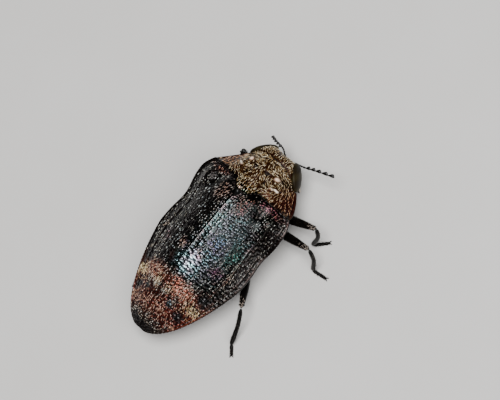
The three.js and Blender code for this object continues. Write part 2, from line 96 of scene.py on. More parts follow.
BASE_Y = 1.73
LOBE = 0.23
LOBE_HALF = 0.3
COLLAR_Y = 2.68
COLLAR_SWEEP = 0.3
COLLAR_HALF = 0.88
PRONOTUM_HALF = 1.36
PRONOTUM_TOP = 0.7
PRONOTUM_FALL = 0.4
PRONOTUM_FALL_Y = 1.5
PRONOTUM_FALL_LENGTH = 1.18
PRONOTUM_SHELL = 0.15
CORNER_RISE = 0.15
EDGE_FALL = 0.37
EDGE_FALL_LENGTH = 0.25

BELLY_DEPTH = 0.5
WALL_DROP = 0.12
INSET = 0.1

HEAD_HALF = 0.84
HEAD_FRONT = 2.98
FACE_HALF = 0.34
MOUTH_Z = 0.42
FACE_LEAN = 0.22
GROOVE = 0.045

SCUTELLUM_HALF = 0.1
SCUTELLUM_FRONT = 1.47
SCUTELLUM_TIP = 1.25

# Bumps and hollows of the back: height, x, y and spread across and along.
CASE_BUMPS = {
    "shoulder knob": (0.09, 1.17, 1.27, 0.15, 0.24),
    "shoulder hollow": (-0.1, 0.82, 1.3, 0.16, 0.22),
    "base tubercle": (0.05, 0.46, 1.47, 0.12, 0.1),
}
PRONOTUM_BUMPS = {
    "middle dome": (0.035, 0.0, 2.15, 0.2, 0.28),
    "pit": (-0.055, 0.31, 2.04, 0.12, 0.17),
    "side dome": (0.04, 0.58, 2.22, 0.18, 0.18),
    "side hollow": (-0.05, 0.92, 1.98, 0.17, 0.2),
}


def node_points(node):
    """The corners of a solid, in mm, as rows of x, y and z."""
    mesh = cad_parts[node].data
    flat = np.empty(3 * len(mesh.vertices))
    mesh.vertices.foreach_get("co", flat)
    return flat.reshape(-1, 3) / MM


CASES = np.vstack([node_points("elytron_left"), node_points("elytron_right")])
ORIGIN = np.array([(CASES[:, 0].min() + CASES[:, 0].max()) / 2, CASES[:, 1].min() - APEX_Y, 0])


# ---------------------------------------------------------------- small maths
def smooth(t):
    """0 to 1 with a soft start and end."""
    t = np.clip(t, 0.0, 1.0)
    return t * t * (3 - 2 * t)


def mix(a, b, t):
    return a + (b - a) * t


def bell(distance, width):
    """1 at no distance, falling to nothing over about two widths."""
    return np.exp(-((distance / width) ** 2))


def relief(bumps, x, y):
    """Height of a table of bumps at a place, the same on both sides."""
    height = 0.0
    for tall, at_x, at_y, wide, long in bumps.values():
        height = height + tall * bell(np.abs(x) - at_x, wide) * bell(y - at_y, long)
    return height


def scatter_value(i, j, seed):
    """A fixed random number from 0 to 1 for each pair of whole numbers."""
    i = np.asarray(i).astype(np.int64)
    j = np.asarray(j).astype(np.int64)
    mixed = (i * 374761393 + j * 668265263 + seed * 1442695041) & 0xFFFFFFFF
    mixed = ((mixed ^ (mixed >> 13)) * 1274126177) & 0xFFFFFFFF
    return ((mixed ^ (mixed >> 16)) & 0xFFFF) / 65535.0


def ripple(x, y, size, seed):
    """Soft random hills and hollows about `size` across, from -1 to 1."""
    i, j = np.floor(x / size), np.floor(y / size)
    s, t = smooth(x / size - i), smooth(y / size - j)
    near = mix(scatter_value(i, j, seed), scatter_value(i + 1, j, seed), s)
    far = mix(scatter_value(i, j + 1, seed), scatter_value(i + 1, j + 1, seed), s)
    return 2 * mix(near, far, t) - 1


def granules(x, y, wide, long, seed):
    """Round grains of the skin, one in each cell of a loose grid: height from 0 to 1."""
    column, row = np.floor(x / wide), np.floor(y / long)
    height = np.zeros(np.shape(x))
    for i in (-1, 0, 1):
        for j in (-1, 0, 1):
            cell = (column + i, row + j)
            at_x = cell[0] + 0.5 + 0.7 * (scatter_value(*cell, seed) - 0.5)
            at_y = cell[1] + 0.5 + 0.7 * (scatter_value(*cell, seed + 1) - 0.5)
            size = 0.36 + 0.26 * scatter_value(*cell, seed + 2)
            distance = ((x / wide - at_x) ** 2 + (y / long - at_y) ** 2) / size**2
            tall = 0.55 + 0.45 * scatter_value(*cell, seed + 3)
            height = np.maximum(height, tall * np.clip(1 - distance, 0, 1))
    return height


def unit(vectors):
    return vectors / np.maximum(np.linalg.norm(vectors, axis=-1, keepdims=True), 1e-12)


# ---------------------------------------------------------------- body shape
def margin_z(y):
    """Height of the wing cases' outer margin."""
    return MARGIN_Z + PITCH * y + SHOULDER_RISE * smooth((y - SHOULDER_RISE_Y) / SHOULDER_RISE_LENGTH)


def case_half(y):
    """Half width of the closed wing cases."""
    t = np.clip((WIDEST_Y - y) / (WIDEST_Y - APEX_Y + 0.02), 0, 1)
    behind = HALF_WIDTH * (1 - t**TAPER_POWER) ** TAPER_ROUND
    waist = WAIST * bell(y - WAIST_Y, WAIST_LENGTH)
    s = np.maximum(0, (y - SHOULDER_Y) / SHOULDER_LENGTH)
    swell = SHOULDER_SWELL * smooth((y - 0.6) / 0.5)
    ahead = (HALF_WIDTH - waist + swell) * (1 - SHOULDER_CUT * s * s)
    return np.where(y < WIDEST_Y, behind, ahead)


def case_crest(y):
    """Rise of the wing cases along the midline."""
    t = np.maximum(0, (CREST_Y - y) / (CREST_Y - APEX_Y + 0.07))
    s = np.maximum(0, (y - BASE_DROP_Y) / BASE_DROP_LENGTH)
    return CREST * (1 - t**CREST_POWER) - BASE_DROP * s * s


def case_pitch(u):
    """Share of that rise left at u, 0 at the seam to 1 at the margin, with a bend at the keel."""
    disc = 1 - (1 - KEEL_HEIGHT) * (np.minimum(u, KEEL_U) / KEEL_U) ** DISC_POWER
    side = KEEL_HEIGHT * (1 - u) / (1 - KEEL_U)
    return np.where(u < KEEL_U, disc, side)


def case_top(x, y):
    """Height of the smooth top of the wing cases."""
    u = np.clip(np.abs(x) / np.maximum(case_half(y), 0.05), 0, 1)
    edge = margin_z(y)
    seam = MARGIN_Z + PITCH * y + case_crest(y)
    return edge + (seam - edge) * case_pitch(u) + relief(CASE_BUMPS, x, y)


def base_line(x):
    """Hind margin of the pronotum."""
    return BASE_Y - LOBE * np.exp(-((x / LOBE_HALF) ** 4))


def collar_line(x):
    """Front margin of the pronotum."""
    return COLLAR_Y - COLLAR_SWEEP * np.abs(x / COLLAR_HALF) ** 2.2


def pronotum_half(y):
    """Half width of the pronotum."""
    t = np.clip((y - BASE_Y) / (COLLAR_Y - COLLAR_SWEEP - BASE_Y), 0, 1)
    return mix(PRONOTUM_HALF, COLLAR_HALF, t**1.25)


def pronotum_edge(y):
    """Height of the pronotum's side margin."""
    fall = 1 - np.exp((BASE_Y - y) / EDGE_FALL_LENGTH)
    return MARGIN_Z + PITCH * y + CORNER_RISE - EDGE_FALL * fall


def pronotum_top(x, y):
    """Height of the smooth top of the pronotum."""
    fall = np.maximum(0, (y - PRONOTUM_FALL_Y) / PRONOTUM_FALL_LENGTH)
    top = MARGIN_Z + PITCH * y + PRONOTUM_TOP - PRONOTUM_FALL * fall**2.2
    u = np.clip(np.abs(x) / pronotum_half(y), 0, 1)
    edge = pronotum_edge(y)
    return edge + (top - edge) * (1 - u**2.1) ** 1.15 + relief(PRONOTUM_BUMPS, x, y)


def roof(x, y):
    """Underside of the plates of the back."""
    room = GAP + 0.03 * smooth((y - 0.7) / 0.3)
    case = case_top(x, np.minimum(y, 1.75)) - SHELL - room
    shield = pronotum_top(x, np.maximum(y, 1.5)) - PRONOTUM_SHELL - room
    middle = np.where(y > 1.8, shield, np.minimum(case, shield))
    return np.where(y < 1.44, case, middle)


def wall_half(y):
    """Half width of the body below the plates of the back."""
    behind = case_half(y) - INSET
    ahead = pronotum_half(np.maximum(y, BASE_Y)) - INSET
    joint = mix(behind, ahead, np.clip((y - 1.4) / 0.4, 0, 1))
    return np.where(y > 1.8, pronotum_half(y) - INSET, joint)


def belly(u, y):
    """Height of the underside, u from -1 to 1 across it."""
    taper = 1 - 0.45 * smooth((-1.2 - y) / 1.7)
    throat = 1 - 0.25 * smooth((y - 2.0) / 0.7)
    bulge = (1 - np.abs(u) ** 2.6) ** 0.6
    chest = pronotum_edge(np.maximum(y, BASE_Y)) - 0.08
    side = mix(MARGIN_Z + PITCH * y - WALL_DROP, chest, smooth((y - 1.6) / 0.5))
    end = np.sqrt(1 - np.clip((-2.6 - y) / 0.32, 0, 0.95) ** 2)
    return side - BELLY_DEPTH * taper * throat * bulge * end


def seam_edge(y):
    """Inner edge of a wing case, which turns round the scutellum."""
    t = np.clip((y - SCUTELLUM_TIP) / (SCUTELLUM_FRONT - SCUTELLUM_TIP), 0, 1)
    return SEAM + t * (SCUTELLUM_HALF + GAP / 2)


def head_front(x):
    """How far forward the head reaches."""
    t = np.clip((np.abs(x) - FACE_HALF) / (HEAD_HALF + 0.06 - FACE_HALF), 0, 1)
    return HEAD_FRONT - 0.5 * t**1.35


# ---------------------------------------------------------------- meshes from arrays
def outward(points, quads, tris):
    """Turns the faces to point away from the inside."""
    corners = np.vstack([quads[:, [0, 1, 2]], quads[:, [0, 2, 3]], tris])
    a, b, c = (points[corners[:, k]] for k in range(3))
    if np.einsum("ij,ij->i", a, np.cross(b, c)).sum() < 0:
        quads, tris = quads[:, ::-1], tris[:, ::-1]
    return points, quads, tris


def loft(rings):
    """A closed body through rings, an array of rings by sides by 3, with a fan over each end."""
    count, sides = rings.shape[:2]
    index = np.arange(count * sides).reshape(count, sides)
    after = np.roll(index, -1, axis=1)
    quads = np.stack([index[:-1], after[:-1], after[1:], index[1:]], axis=-1).reshape(-1, 4)
    points = np.vstack([rings.reshape(-1, 3), rings[0].mean(axis=0), rings[-1].mean(axis=0)])
    middle = np.full(sides, count * sides)
    front = np.column_stack([middle, after[0], index[0]])
    back = np.column_stack([middle + 1, index[-1], after[-1]])
    return outward(points, quads, np.vstack([front, back]))


def join(parts):
    """Several (points, quads, tris) as one."""
    start, points, quads, tris = 0, [], [], []
    for part_points, part_quads, part_tris in parts:
        points.append(part_points)
        quads.append(part_quads + start)
        tris.append(part_tris + start)
        start += len(part_points)
    return np.vstack(points), np.vstack(quads), np.vstack(tris)


def grid_normals(grid):
    """Unit normals of a grid of points, rows by columns by 3, turned upward."""
    across = np.gradient(grid, axis=1)
    along = np.gradient(grid, axis=0)
    normals = unit(np.cross(across, along))
    return np.where(normals[..., 2:].mean() < 0, -normals, normals)


def make_piece(name, shape, material, nodes=(), values=None):
    """A mesh object from points in mm in the body's frame, standing for the solids it names."""
    points, quads, tris = shape
    mesh = bpy.data.meshes.new(name)
    mesh.vertices.add(len(points))
    mesh.vertices.foreach_set("co", ((points + ORIGIN) * MM).ravel())
    mesh.loops.add(quads.size + tris.size)
    mesh.loops.foreach_set("vertex_index", np.concatenate([quads.ravel(), tris.ravel()]))
    mesh.polygons.add(len(quads) + len(tris))
    starts = np.concatenate([np.arange(len(quads)) * 4, quads.size + np.arange(len(tris)) * 3])
    mesh.polygons.foreach_set("loop_start", starts)
    mesh.update(calc_edges=True)
    mesh.shade_smooth()
    mesh.materials.append(material)
    for label, numbers in (values or {}).items():
        attribute = mesh.attributes.new(label, "FLOAT", "POINT")
        attribute.data.foreach_set("value", np.asarray(numbers, np.float32))
    piece = bpy.data.objects.new(name, mesh)
    bpy.context.scene.collection.objects.link(piece)
    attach(piece, "root")
    if nodes:
        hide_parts(*nodes)
    return piece


def carve(piece, shapes):
    """Cuts closed shapes out of a piece; the cut is worked out in mm, where it is exact enough."""
    piece.data.transform(Matrix.Scale(1 / MM, 4))
    for points, quads, tris in shapes:
        mesh = bpy.data.meshes.new("cutter")
        faces = [tuple(face) for face in quads.tolist() + tris.tolist()]
        mesh.from_pydata((points + ORIGIN).tolist(), [], faces)
        cutter = bpy.data.objects.new("cutter", mesh)
        bpy.context.scene.collection.objects.link(cutter)
        modifier = piece.modifiers.new("cut", "BOOLEAN")
        modifier.object = cutter
        modifier.solver = "EXACT"
        bpy.context.view_layer.update()
        graph = bpy.context.evaluated_depsgraph_get()
        cut_mesh = bpy.data.meshes.new_from_object(piece.evaluated_get(graph))
        cut_mesh.materials.clear()
        cut_mesh.materials.append(piece.data.materials[0])
        cut_mesh.polygons.foreach_set("material_index", np.zeros(len(cut_mesh.polygons), np.int32))
        piece.modifiers.clear()
        piece.data = cut_mesh
        bpy.data.objects.remove(cutter)
    if not len(piece.data.polygons):
        raise ValueError(f"nothing is left of {piece.name} after the cuts")
    piece.data.transform(Matrix.Scale(MM, 4))
    piece.data.shade_smooth()


# ---------------------------------------------------------------- round shapes
def ellipsoid(centre, radii, euler=(0.0, 0.0, 0.0), columns=48, rows=30):
    """A closed ellipsoid turned about X, Y and Z in that order."""
    angle = np.linspace(0, np.pi, rows + 1)[1:-1]
    turn = np.linspace(0, 2 * np.pi, columns, endpoint=False)
    ring = np.stack(
        [
            np.outer(np.sin(angle), np.cos(turn)),
            np.outer(np.sin(angle), np.sin(turn)),
            np.outer(np.cos(angle), np.ones(columns)),
        ],
        axis=-1,
    )
    points, quads, tris = loft(ring)
    points[-2:] = [[0, 0, 1], [0, 0, -1]]
    rx, ry, rz = (Matrix.Rotation(a, 3, axis) for a, axis in zip(euler, "XYZ"))
    spin = np.array(rx @ ry @ rz)
    return (points * np.array(radii)) @ spin.T + np.array(centre), quads, tris


def curve_points(stops, t):
    """Places and directions at t on a centripetal Catmull-Rom curve through the stops."""
    stops = np.asarray(stops, float)
    path = np.vstack([2 * stops[0] - stops[1], stops, 2 * stops[-1] - stops[-2]])
    step = np.maximum(np.linalg.norm(np.diff(path, axis=0), axis=1) ** 0.5, 1e-4)

    def at(t):
        place = np.clip(t, 0, 1) * (len(stops) - 1)
        i = np.minimum(place.astype(int), len(stops) - 2)
        w = (place - i)[:, None]
        p0, p1, p2, p3 = (path[i + k] for k in range(4))
        d0, d1, d2 = (step[i + k][:, None] for k in range(3))
        t1 = ((p1 - p0) / d0 - (p2 - p0) / (d0 + d1) + (p2 - p1) / d1) * d1
        t2 = ((p2 - p1) / d1 - (p3 - p1) / (d1 + d2) + (p3 - p2) / d2) * d1
        cubic = 2 * p1 - 2 * p2 + t1 + t2
        square = -3 * p1 + 3 * p2 - 2 * t1 - t2
        return p1 + t1 * w + square * w**2 + cubic * w**3

    t = np.asarray(t, float)
    return at(t), unit(at(np.minimum(t + 1e-3, 1)) - at(np.maximum(t - 1e-3, 0)))


def limb_point(stops, t, angle, width, depth, upright=UP, shift=None):
    """Points of a limb's skin at t along it and at an angle round it, with the way it runs."""
    centre, along = curve_points(stops, t)
    across = unit(np.cross(along, np.asarray(upright, float)))
    up = unit(np.cross(across, along))
    if shift is not None:
        centre = centre + across * shift(t)[:, None]
    side = (width(t) * np.cos(angle))[:, None]
    top = (depth(t) * np.sin(angle))[:, None]
    return centre + across * side + up * top, along


def limb(stops, width, depth, steps=40, sides=24, upright=UP, floor=-1.0, phase=0.5, shift=None):
    """A closed limb along a curve; points below `floor` are raised to it, as under a sole."""
    t = np.repeat(np.linspace(0, 1, steps + 1), sides)
    angle = np.tile(2 * np.pi * (np.arange(sides) + phase) / sides, steps + 1)
    points, _ = limb_point(stops, t, angle, width, depth, upright, shift)
    points[:, 2] = np.maximum(points[:, 2], floor)
    return loft(points.reshape(steps + 1, sides, 3))


# ---------------------------------------------------------------- node helpers
def add_node(tree, kind, inputs=(), **settings):
    """A node with its settings and its inputs, by order or by name: values, or sockets to link."""
    node = tree.nodes.new(kind)
    for key, value in settings.items():
        setattr(node, key, value)
    for key, value in inputs.items() if isinstance(inputs, dict) else enumerate(inputs):
        if isinstance(value, bpy.types.NodeSocket):
            tree.links.new(value, node.inputs[key])
        elif value is not None:
            node.inputs[key].default_value = value
    return node


def calc(tree, operation, *values):
    """The output of a sum on values or sockets."""
    return add_node(tree, "ShaderNodeMath", values, operation=operation).outputs[0]


def blend_colours(tree, share, first, second, blend_type="MIX"):
    """The first colour changed by the second to that share."""
    inputs = {0: share, 6: first, 7: second}
    settings = {"data_type": "RGBA", "blend_type": blend_type}
    return add_node(tree, "ShaderNodeMix", inputs, **settings).outputs[2]


def fade(tree, value, full, none):
    """1 where the value is at `full`, falling smoothly to 0 at `none`."""
    inputs = {"Value": value, "From Min": none, "From Max": full}
    return add_node(tree, "ShaderNodeMapRange", inputs, interpolation_type="SMOOTHSTEP").outputs[0]


def noise(tree, place, scale, detail=2.0, roughness=0.5):
    """Soft cloudy values round 0.5, `scale` of them per mm."""
    inputs = {"Vector": place, "Scale": scale, "Detail": detail, "Roughness": roughness}
    return add_node(tree, "ShaderNodeTexNoise", inputs).outputs["Fac"]


def body_place(tree):
    """The point on the skin in mm, in the body's frame."""
    point = add_node(tree, "ShaderNodeTexCoord").outputs["Object"]
    scaled = add_node(tree, "ShaderNodeVectorMath", {0: point, "Scale": 1 / MM}, operation="SCALE")
    inputs = (scaled.outputs[0], tuple(ORIGIN))
    return add_node(tree, "ShaderNodeVectorMath", inputs, operation="SUBTRACT").outputs[0]


def new_group(name, inputs, outputs):
    """An empty shader group with its sockets; returns the tree, its inputs and its outputs' node."""
    tree = bpy.data.node_groups.new(name, "ShaderNodeTree")
    kinds = {"colour": "NodeSocketColor", "value": "NodeSocketFloat", "vector": "NodeSocketVector"}
    for label, (kind, default) in inputs.items():
        socket = tree.interface.new_socket(label, in_out="INPUT", socket_type=kinds[kind])
        socket.default_value = default
    for label, kind in outputs.items():
        tree.interface.new_socket(label, in_out="OUTPUT", socket_type=kinds[kind])
    return tree, add_node(tree, "NodeGroupInput").outputs, add_node(tree, "NodeGroupOutput")


def use_group(tree, name, inputs=()):
    """The outputs of a group's node, with its inputs set by name."""
    return add_node(tree, "ShaderNodeGroup", inputs, node_tree=bpy.data.node_groups[name]).outputs


def rgb(code):
    """A screen colour such as "8a2f4a" as linear red, green, blue and alpha."""
    parts = [int(code[k : k + 2], 16) / 255 for k in (0, 2, 4)]
    linear = [c / 12.92 if c <= 0.04045 else ((c + 0.055) / 1.055) ** 2.4 for c in parts]
    return (*linear, 1.0)


# ---------------------------------------------------------------- markings
# Soft patches of the back, the same on both sides, in mm: middle x and y, half sizes, colour of the shell,
# colour of the hairs and how densely they grow, less than 0 where even the short rows of hairs stop.
# A later patch lies over an earlier one. The sheens and the highlight patches are painted highlights, and
# the dark patches of the pronotum are painted shade in its hollows.
PATCHES = {
    "disc front": (0.5, 0.55, 0.72, 0.85, "4c565a", "a8b2b6", 0.1),
    "disc rear": (0.42, -0.55, 0.62, 0.8, "58646a", "a8b2b6", 0.08),
    "rear side": (0.95, -2.0, 0.55, 0.8, "6c3018", "f0cc98", 0.24),
    "base rim": (0.95, 1.6, 0.4, 0.12, "a05a66", "d08c80", 0.4),
    "by scutellum": (0.34, 1.2, 0.27, 0.34, "4a302c", "d0a490", 0.5),
    "red tubercle": (0.47, 1.47, 0.12, 0.1, "4c2622", "b08068", 0.25),
    "front sheen": (0.14, 0.5, 0.13, 0.6, "7c8688", "dcdcd8", -0.24),
    "rear sheen": (0.2, -0.85, 0.22, 0.34, "a4b4b8", "b8b8b4", -1.0),
    "green side": (0.95, 0.05, 0.18, 0.34, "28584e", "9a9a94", 0.05),
    "violet middle": (0.5, 0.0, 0.3, 0.3, "56566a", "9a9a94", 0.1),
    "purple middle": (0.25, -0.48, 0.18, 0.17, "a08a98", "f0c8b8", 0.5),
    "purple side": (0.88, -0.6, 0.18, 0.2, "603e52", "b08c98", 0.2),
    "bronze tuft": (1.2, -0.5, 0.12, 0.24, "3c2c24", "ecd8c4", 0.7),
    "copper band": (0.42, -1.52, 0.5, 0.3, "b0624a", "ffd4bc", 1.0),
    "cream by seam": (0.2, -1.66, 0.14, 0.2, "7c543c", "ffe8c4", 1.0),
    "cream at side": (0.97, -1.7, 0.2, 0.15, "5c3e28", "ffecb8", 1.0),
    "red rows": (0.35, -2.25, 0.7, 0.42, "7a2e1c", "e0b098", 0.28),
    "bare spot": (1.04, -1.34, 0.2, 0.2, "161214", "6a5a4c", -1.0),
    "rear bare spot": (0.74, -2.1, 0.15, 0.18, "161214", "6a5a4c", -1.0),
    "teal spot": (0.42, -1.98, 0.1, 0.12, "3c5c68", "6a5a4c", 0.0),
    "tip": (0.0, -3.04, 0.7, 0.37, "1a0a04", "8a6440", -0.65),
    # Painted highlight along the raised seam.
    "seam line highlight": (0.006, 0.3, 0.011, 1.3, "a8a8a4", "b8b8b4", 0.0),
    "shield side": (1.1, 2.1, 0.4, 0.6, "381610", "d8a078", 0.5),
    # Painted shade in the pronotum's hollows and pit.
    "hollow shade": (0.21, 2.26, 0.11, 0.07, "1c1612", "a88c5c", 0.0),
    "pit shade": (0.316, 1.99, 0.05, 0.12, "14100e", "a88c5c", 0.1),
    "front hollow shade": (0.66, 2.4, 0.16, 0.1, "1c1814", "a88c5c", 0.1),
    # Painted highlights on the pronotum's knob and ridge.
    "knob highlight": (0.478, 2.317, 0.07, 0.06, "ffdcc0", "ffe8c8", 0.1),
    "ridge highlight": (0.57, 2.035, 0.06, 0.035, "f0dcc4", "fff0d8", 0.3),
    "ridge end highlight": (0.66, 2.08, 0.07, 0.035, "fff0dc", "fff0d8", 0.3),
    "pale hairs": (0.62, 1.86, 0.17, 0.1, "6a4c34", "fff0d0", 1.0),
    # Painted highlight on the rim of the pronotum's hind lobe, with pale hairs.
    "lobe rim highlight": (0.06, 1.54, 0.1, 0.035, "ecd8bc", "fff4e0", 1.0),
}
PATCH_CORE = 0.25  # share of a patch's size where it is full
PATCH_EDGE = 1.3  # and where it ends
PATCH_WOBBLE = 0.9


def patch_share(name, x, y):
    """How far a place on the back belongs to that patch."""
    at_x, at_y, half_x, half_y = PATCHES[name][:4]
    distance = np.hypot((np.abs(x) - at_x) / half_x, (y - at_y) / half_y)
    distance = distance + 0.3 * ripple(x, y, 0.13, 5)
    return smooth((PATCH_EDGE - distance) / (PATCH_EDGE - PATCH_CORE))


def hair_cover(x, y, ground):
    """How densely hairs grow at a place on the back, up to 1."""
    cover = np.full(np.shape(x), ground)
    for name, patch in PATCHES.items():
        cover = mix(cover, patch[-1], patch_share(name, x, y))
    return cover


def tuft_cover(x, y):
    """How densely the long hairs of the cream tufts grow at a place."""
    return np.maximum(patch_share("cream by seam", x, y), patch_share("cream at side", x, y)) ** 2


def markings_group():
    """Colours of shell and hairs at each place on the back."""
    tree, inputs, output = new_group(
        "Beetle markings",
        {"Ground": ("colour", rgb("2c4a52")), "Ground hair": ("colour", rgb("c8b898"))},
        {"Shell": "colour", "Hair": "colour"},
    )
    place = body_place(tree)
    x, y, _ = add_node(tree, "ShaderNodeSeparateXYZ", (place,)).outputs
    x = calc(tree, "ABSOLUTE", x)
    wobble = calc(tree, "SUBTRACT", noise(tree, place, 7.0, 5.0, 0.7), 0.5)
    wobble = calc(tree, "MULTIPLY", wobble, PATCH_WOBBLE * 2)
    shell, hair = inputs["Ground"], inputs["Ground hair"]
    for at_x, at_y, half_x, half_y, shell_code, hair_code, _ in PATCHES.values():
        across = calc(tree, "DIVIDE", calc(tree, "SUBTRACT", x, at_x), half_x)
        along = calc(tree, "DIVIDE", calc(tree, "SUBTRACT", y, at_y), half_y)
        flat = add_node(tree, "ShaderNodeCombineXYZ", (across, along, 0.0)).outputs[0]
        length = add_node(tree, "ShaderNodeVectorMath", (flat,), operation="LENGTH").outputs["Value"]
        mask = fade(tree, calc(tree, "ADD", length, wobble), PATCH_CORE, PATCH_EDGE)
        shell = blend_colours(tree, mask, shell, rgb(shell_code))
        hair = blend_colours(tree, mask, hair, rgb(hair_code))
    tree.links.new(shell, output.inputs["Shell"])
    tree.links.new(hair, output.inputs["Hair"])


def grain_group():
    """Fine wrinkles and pores of the cuticle: a height for bump and a tone from 0 to 1."""
    tree, inputs, output = new_group(
        "Cuticle grain",
        {"Pores per mm": ("value", 40.0), "Wrinkles per mm": ("value", 18.0)},
        {"Height": "value", "Tone": "value"},
    )
    place = body_place(tree)
    cells = {"Vector": place, "Scale": inputs["Pores per mm"]}
    pores = add_node(tree, "ShaderNodeTexVoronoi", cells, feature="F1").outputs["Distance"]
    wrinkles = noise(tree, place, inputs["Wrinkles per mm"], 4.0, 0.6)
    height = calc(tree, "MULTIPLY_ADD", pores, 0.5, wrinkles)
    tree.links.new(height, output.inputs["Height"])
    tree.links.new(noise(tree, place, 6.0, 3.0, 0.55), output.inputs["Tone"])


# ---------------------------------------------------------------- materials
def new_material(name, **settings):
    """A material with its principled shader; settings are its own sockets."""
    material = bpy.data.materials.new(name)
    material.use_nodes = True
    tree = material.node_tree
    shader = tree.nodes["Principled BSDF"]
    for label, value in settings.items():
        shader.inputs[label.replace("_", " ")].default_value = value
    return material, tree, shader


def add_bump(tree, shader, height, strength, distance):
    """Fine relief of a shader's skin."""
    inputs = {"Height": height, "Strength": strength, "Distance": distance}
    bump = add_node(tree, "ShaderNodeBump", inputs)
    tree.links.new(bump.outputs[0], shader.inputs["Normal"])


def shell_material(name, ground, hair, metal, sizes, **settings):
    """Shell: marked colour with painted shade between its grains and in its pits and a painted highlight on
    their crests, painted shade over the left half, less metallic at the rear.
    """
    material, tree, shader = new_material(name, **settings)
    marks = use_group(tree, "Beetle markings", {"Ground": ground, "Ground hair": hair})
    grain = use_group(tree, "Cuticle grain")
    pit = add_node(tree, "ShaderNodeAttribute", attribute_name="pit").outputs["Fac"]
    crest = add_node(tree, "ShaderNodeAttribute", attribute_name="crest").outputs["Fac"]
    place = body_place(tree)
    x, y, _ = add_node(tree, "ShaderNodeSeparateXYZ", (place,)).outputs
    warm = calc(tree, "MAXIMUM", fade(tree, y, -1.5, -1.05), fade(tree, y, 1.85, 1.7))
    flank_and_left_shade = add_node(tree, "ShaderNodeAttribute", attribute_name="flank_and_left_shade").outputs["Fac"]
    # Painted shade: the left half is darkened and browned like the flank past the keel, as the light falls
    # from the right.
    flank_and_left_shade = calc(tree, "MAXIMUM", flank_and_left_shade, fade(tree, x, -0.35, -0.03))
    flank_and_left_shade = calc(tree, "MULTIPLY", flank_and_left_shade, calc(tree, "SUBTRACT", 1.0, warm))
    valley_shade_tint = blend_colours(tree, flank_and_left_shade, rgb("2c403c"), rgb("6c5440"))
    valley_shade_tint = blend_colours(tree, warm, valley_shade_tint, rgb("84604e"))
    play = fade(tree, noise(tree, place, 5.0), 0.6, 0.42)
    gleam = blend_colours(tree, play, rgb("f6dee8"), rgb("d0f0f2"))
    shell = blend_colours(tree, calc(tree, "SUBTRACT", 1.0, warm), marks["Shell"], gleam, "MULTIPLY")
    shell = blend_colours(tree, flank_and_left_shade, shell, rgb("8c6c58"), "MULTIPLY")
    # Painted shade in the valleys between the grains; the crests keep the full colour as a painted
    # highlight.
    painted_valley_shade = blend_colours(tree, 1.0, shell, valley_shade_tint, "MULTIPLY")
    colour = blend_colours(tree, fade(tree, crest, 0.8, 0.15), painted_valley_shade, shell)
    # Painted shade: the pits are painted near black.
    colour = blend_colours(tree, pit, colour, rgb("0c0b0b"))
    tree.links.new(colour, shader.inputs["Base Color"])
    dull = calc(tree, "MAXIMUM", warm, calc(tree, "MULTIPLY", flank_and_left_shade, 0.5))
    tree.links.new(calc(tree, "MULTIPLY_ADD", dull, metal - 1, 1.0), shader.inputs["Metallic"])
    rough = calc(tree, "MULTIPLY_ADD", grain["Tone"], 0.16, sizes.shell_roughness - 0.08)
    tree.links.new(rough, shader.inputs["Roughness"])
    add_bump(tree, shader, grain["Height"], 0.35, 0.004 * MM)
    return material


def plain_cuticle(name, first, second, roughness, **settings):
    """Glossy unmarked cuticle that varies between two colours."""
    material, tree, shader = new_material(name, **settings)
    grain = use_group(tree, "Cuticle grain", {"Wrinkles per mm": 30.0})
    tree.links.new(blend_colours(tree, grain["Tone"], first, second), shader.inputs["Base Color"])
    rough = calc(tree, "MULTIPLY_ADD", grain["Tone"], 0.15, roughness - 0.07)
    tree.links.new(rough, shader.inputs["Roughness"])
    add_bump(tree, shader, grain["Height"], 0.3, 0.003 * MM)
    return material


def hair_material(name, ground, shade):
    """Hairs: marked colour, some darker by the shade and some bleached."""
    material, tree, shader = new_material(name, Roughness=0.28, Specular_IOR_Level=0.9)
    marks = use_group(tree, "Beetle markings", {"Ground hair": ground})
    place = body_place(tree)
    tone = fade(tree, noise(tree, place, 18.0), 0.42, 0.56)
    pale = fade(tree, noise(tree, place, 27.0), 0.66, 0.5)
    shaded = blend_colours(tree, 1.0, marks["Hair"], shade, "MULTIPLY")
    light = blend_colours(tree, calc(tree, "MULTIPLY", pale, 0.5), marks["Hair"], rgb("fff8ec"))
    colour = blend_colours(tree, tone, shaded, light)
    tree.links.new(colour, shader.inputs["Base Color"])
    add_bump(tree, shader, noise(tree, place, 90.0), 0.15, 0.002 * MM)
    return material


def eye_material(name):
    """Smooth dark olive eyes with paler bands that slant across them."""
    material, tree, shader = new_material(name, Roughness=0.4, Specular_IOR_Level=0.07)
    place = body_place(tree)
    x, y, z = add_node(tree, "ShaderNodeSeparateXYZ", (place,)).outputs
    slant = calc(tree, "MULTIPLY_ADD", calc(tree, "ABSOLUTE", x), -0.8, calc(tree, "MULTIPLY", y, 0.5))
    band = calc(tree, "SINE", calc(tree, "MULTIPLY_ADD", slant, 17.0, calc(tree, "MULTIPLY", z, 6.0)))
    mask = fade(tree, band, 0.9, -0.6)
    colour = blend_colours(tree, mask, rgb("1a140a"), rgb("262010"))
    tree.links.new(colour, shader.inputs["Base Color"])
    facets = {"Vector": place, "Scale": 55.0}
    cells = add_node(tree, "ShaderNodeTexVoronoi", facets, feature="SMOOTH_F1").outputs["Distance"]
    add_bump(tree, shader, cells, 0.12, 0.002 * MM)
    return material


def floor_material(name):
    """Matt pale paper with a faint uneven tone."""
    material, tree, shader = new_material(name, Roughness=0.75)
    place = body_place(tree)
    tone = blend_colours(tree, noise(tree, place, 0.35, 3.0), rgb("c6c4c0"), rgb("ceccca"))
    tree.links.new(tone, shader.inputs["Base Color"])
    add_bump(tree, shader, noise(tree, place, 9.0, 4.0), 0.1, 0.01 * MM)
    return material


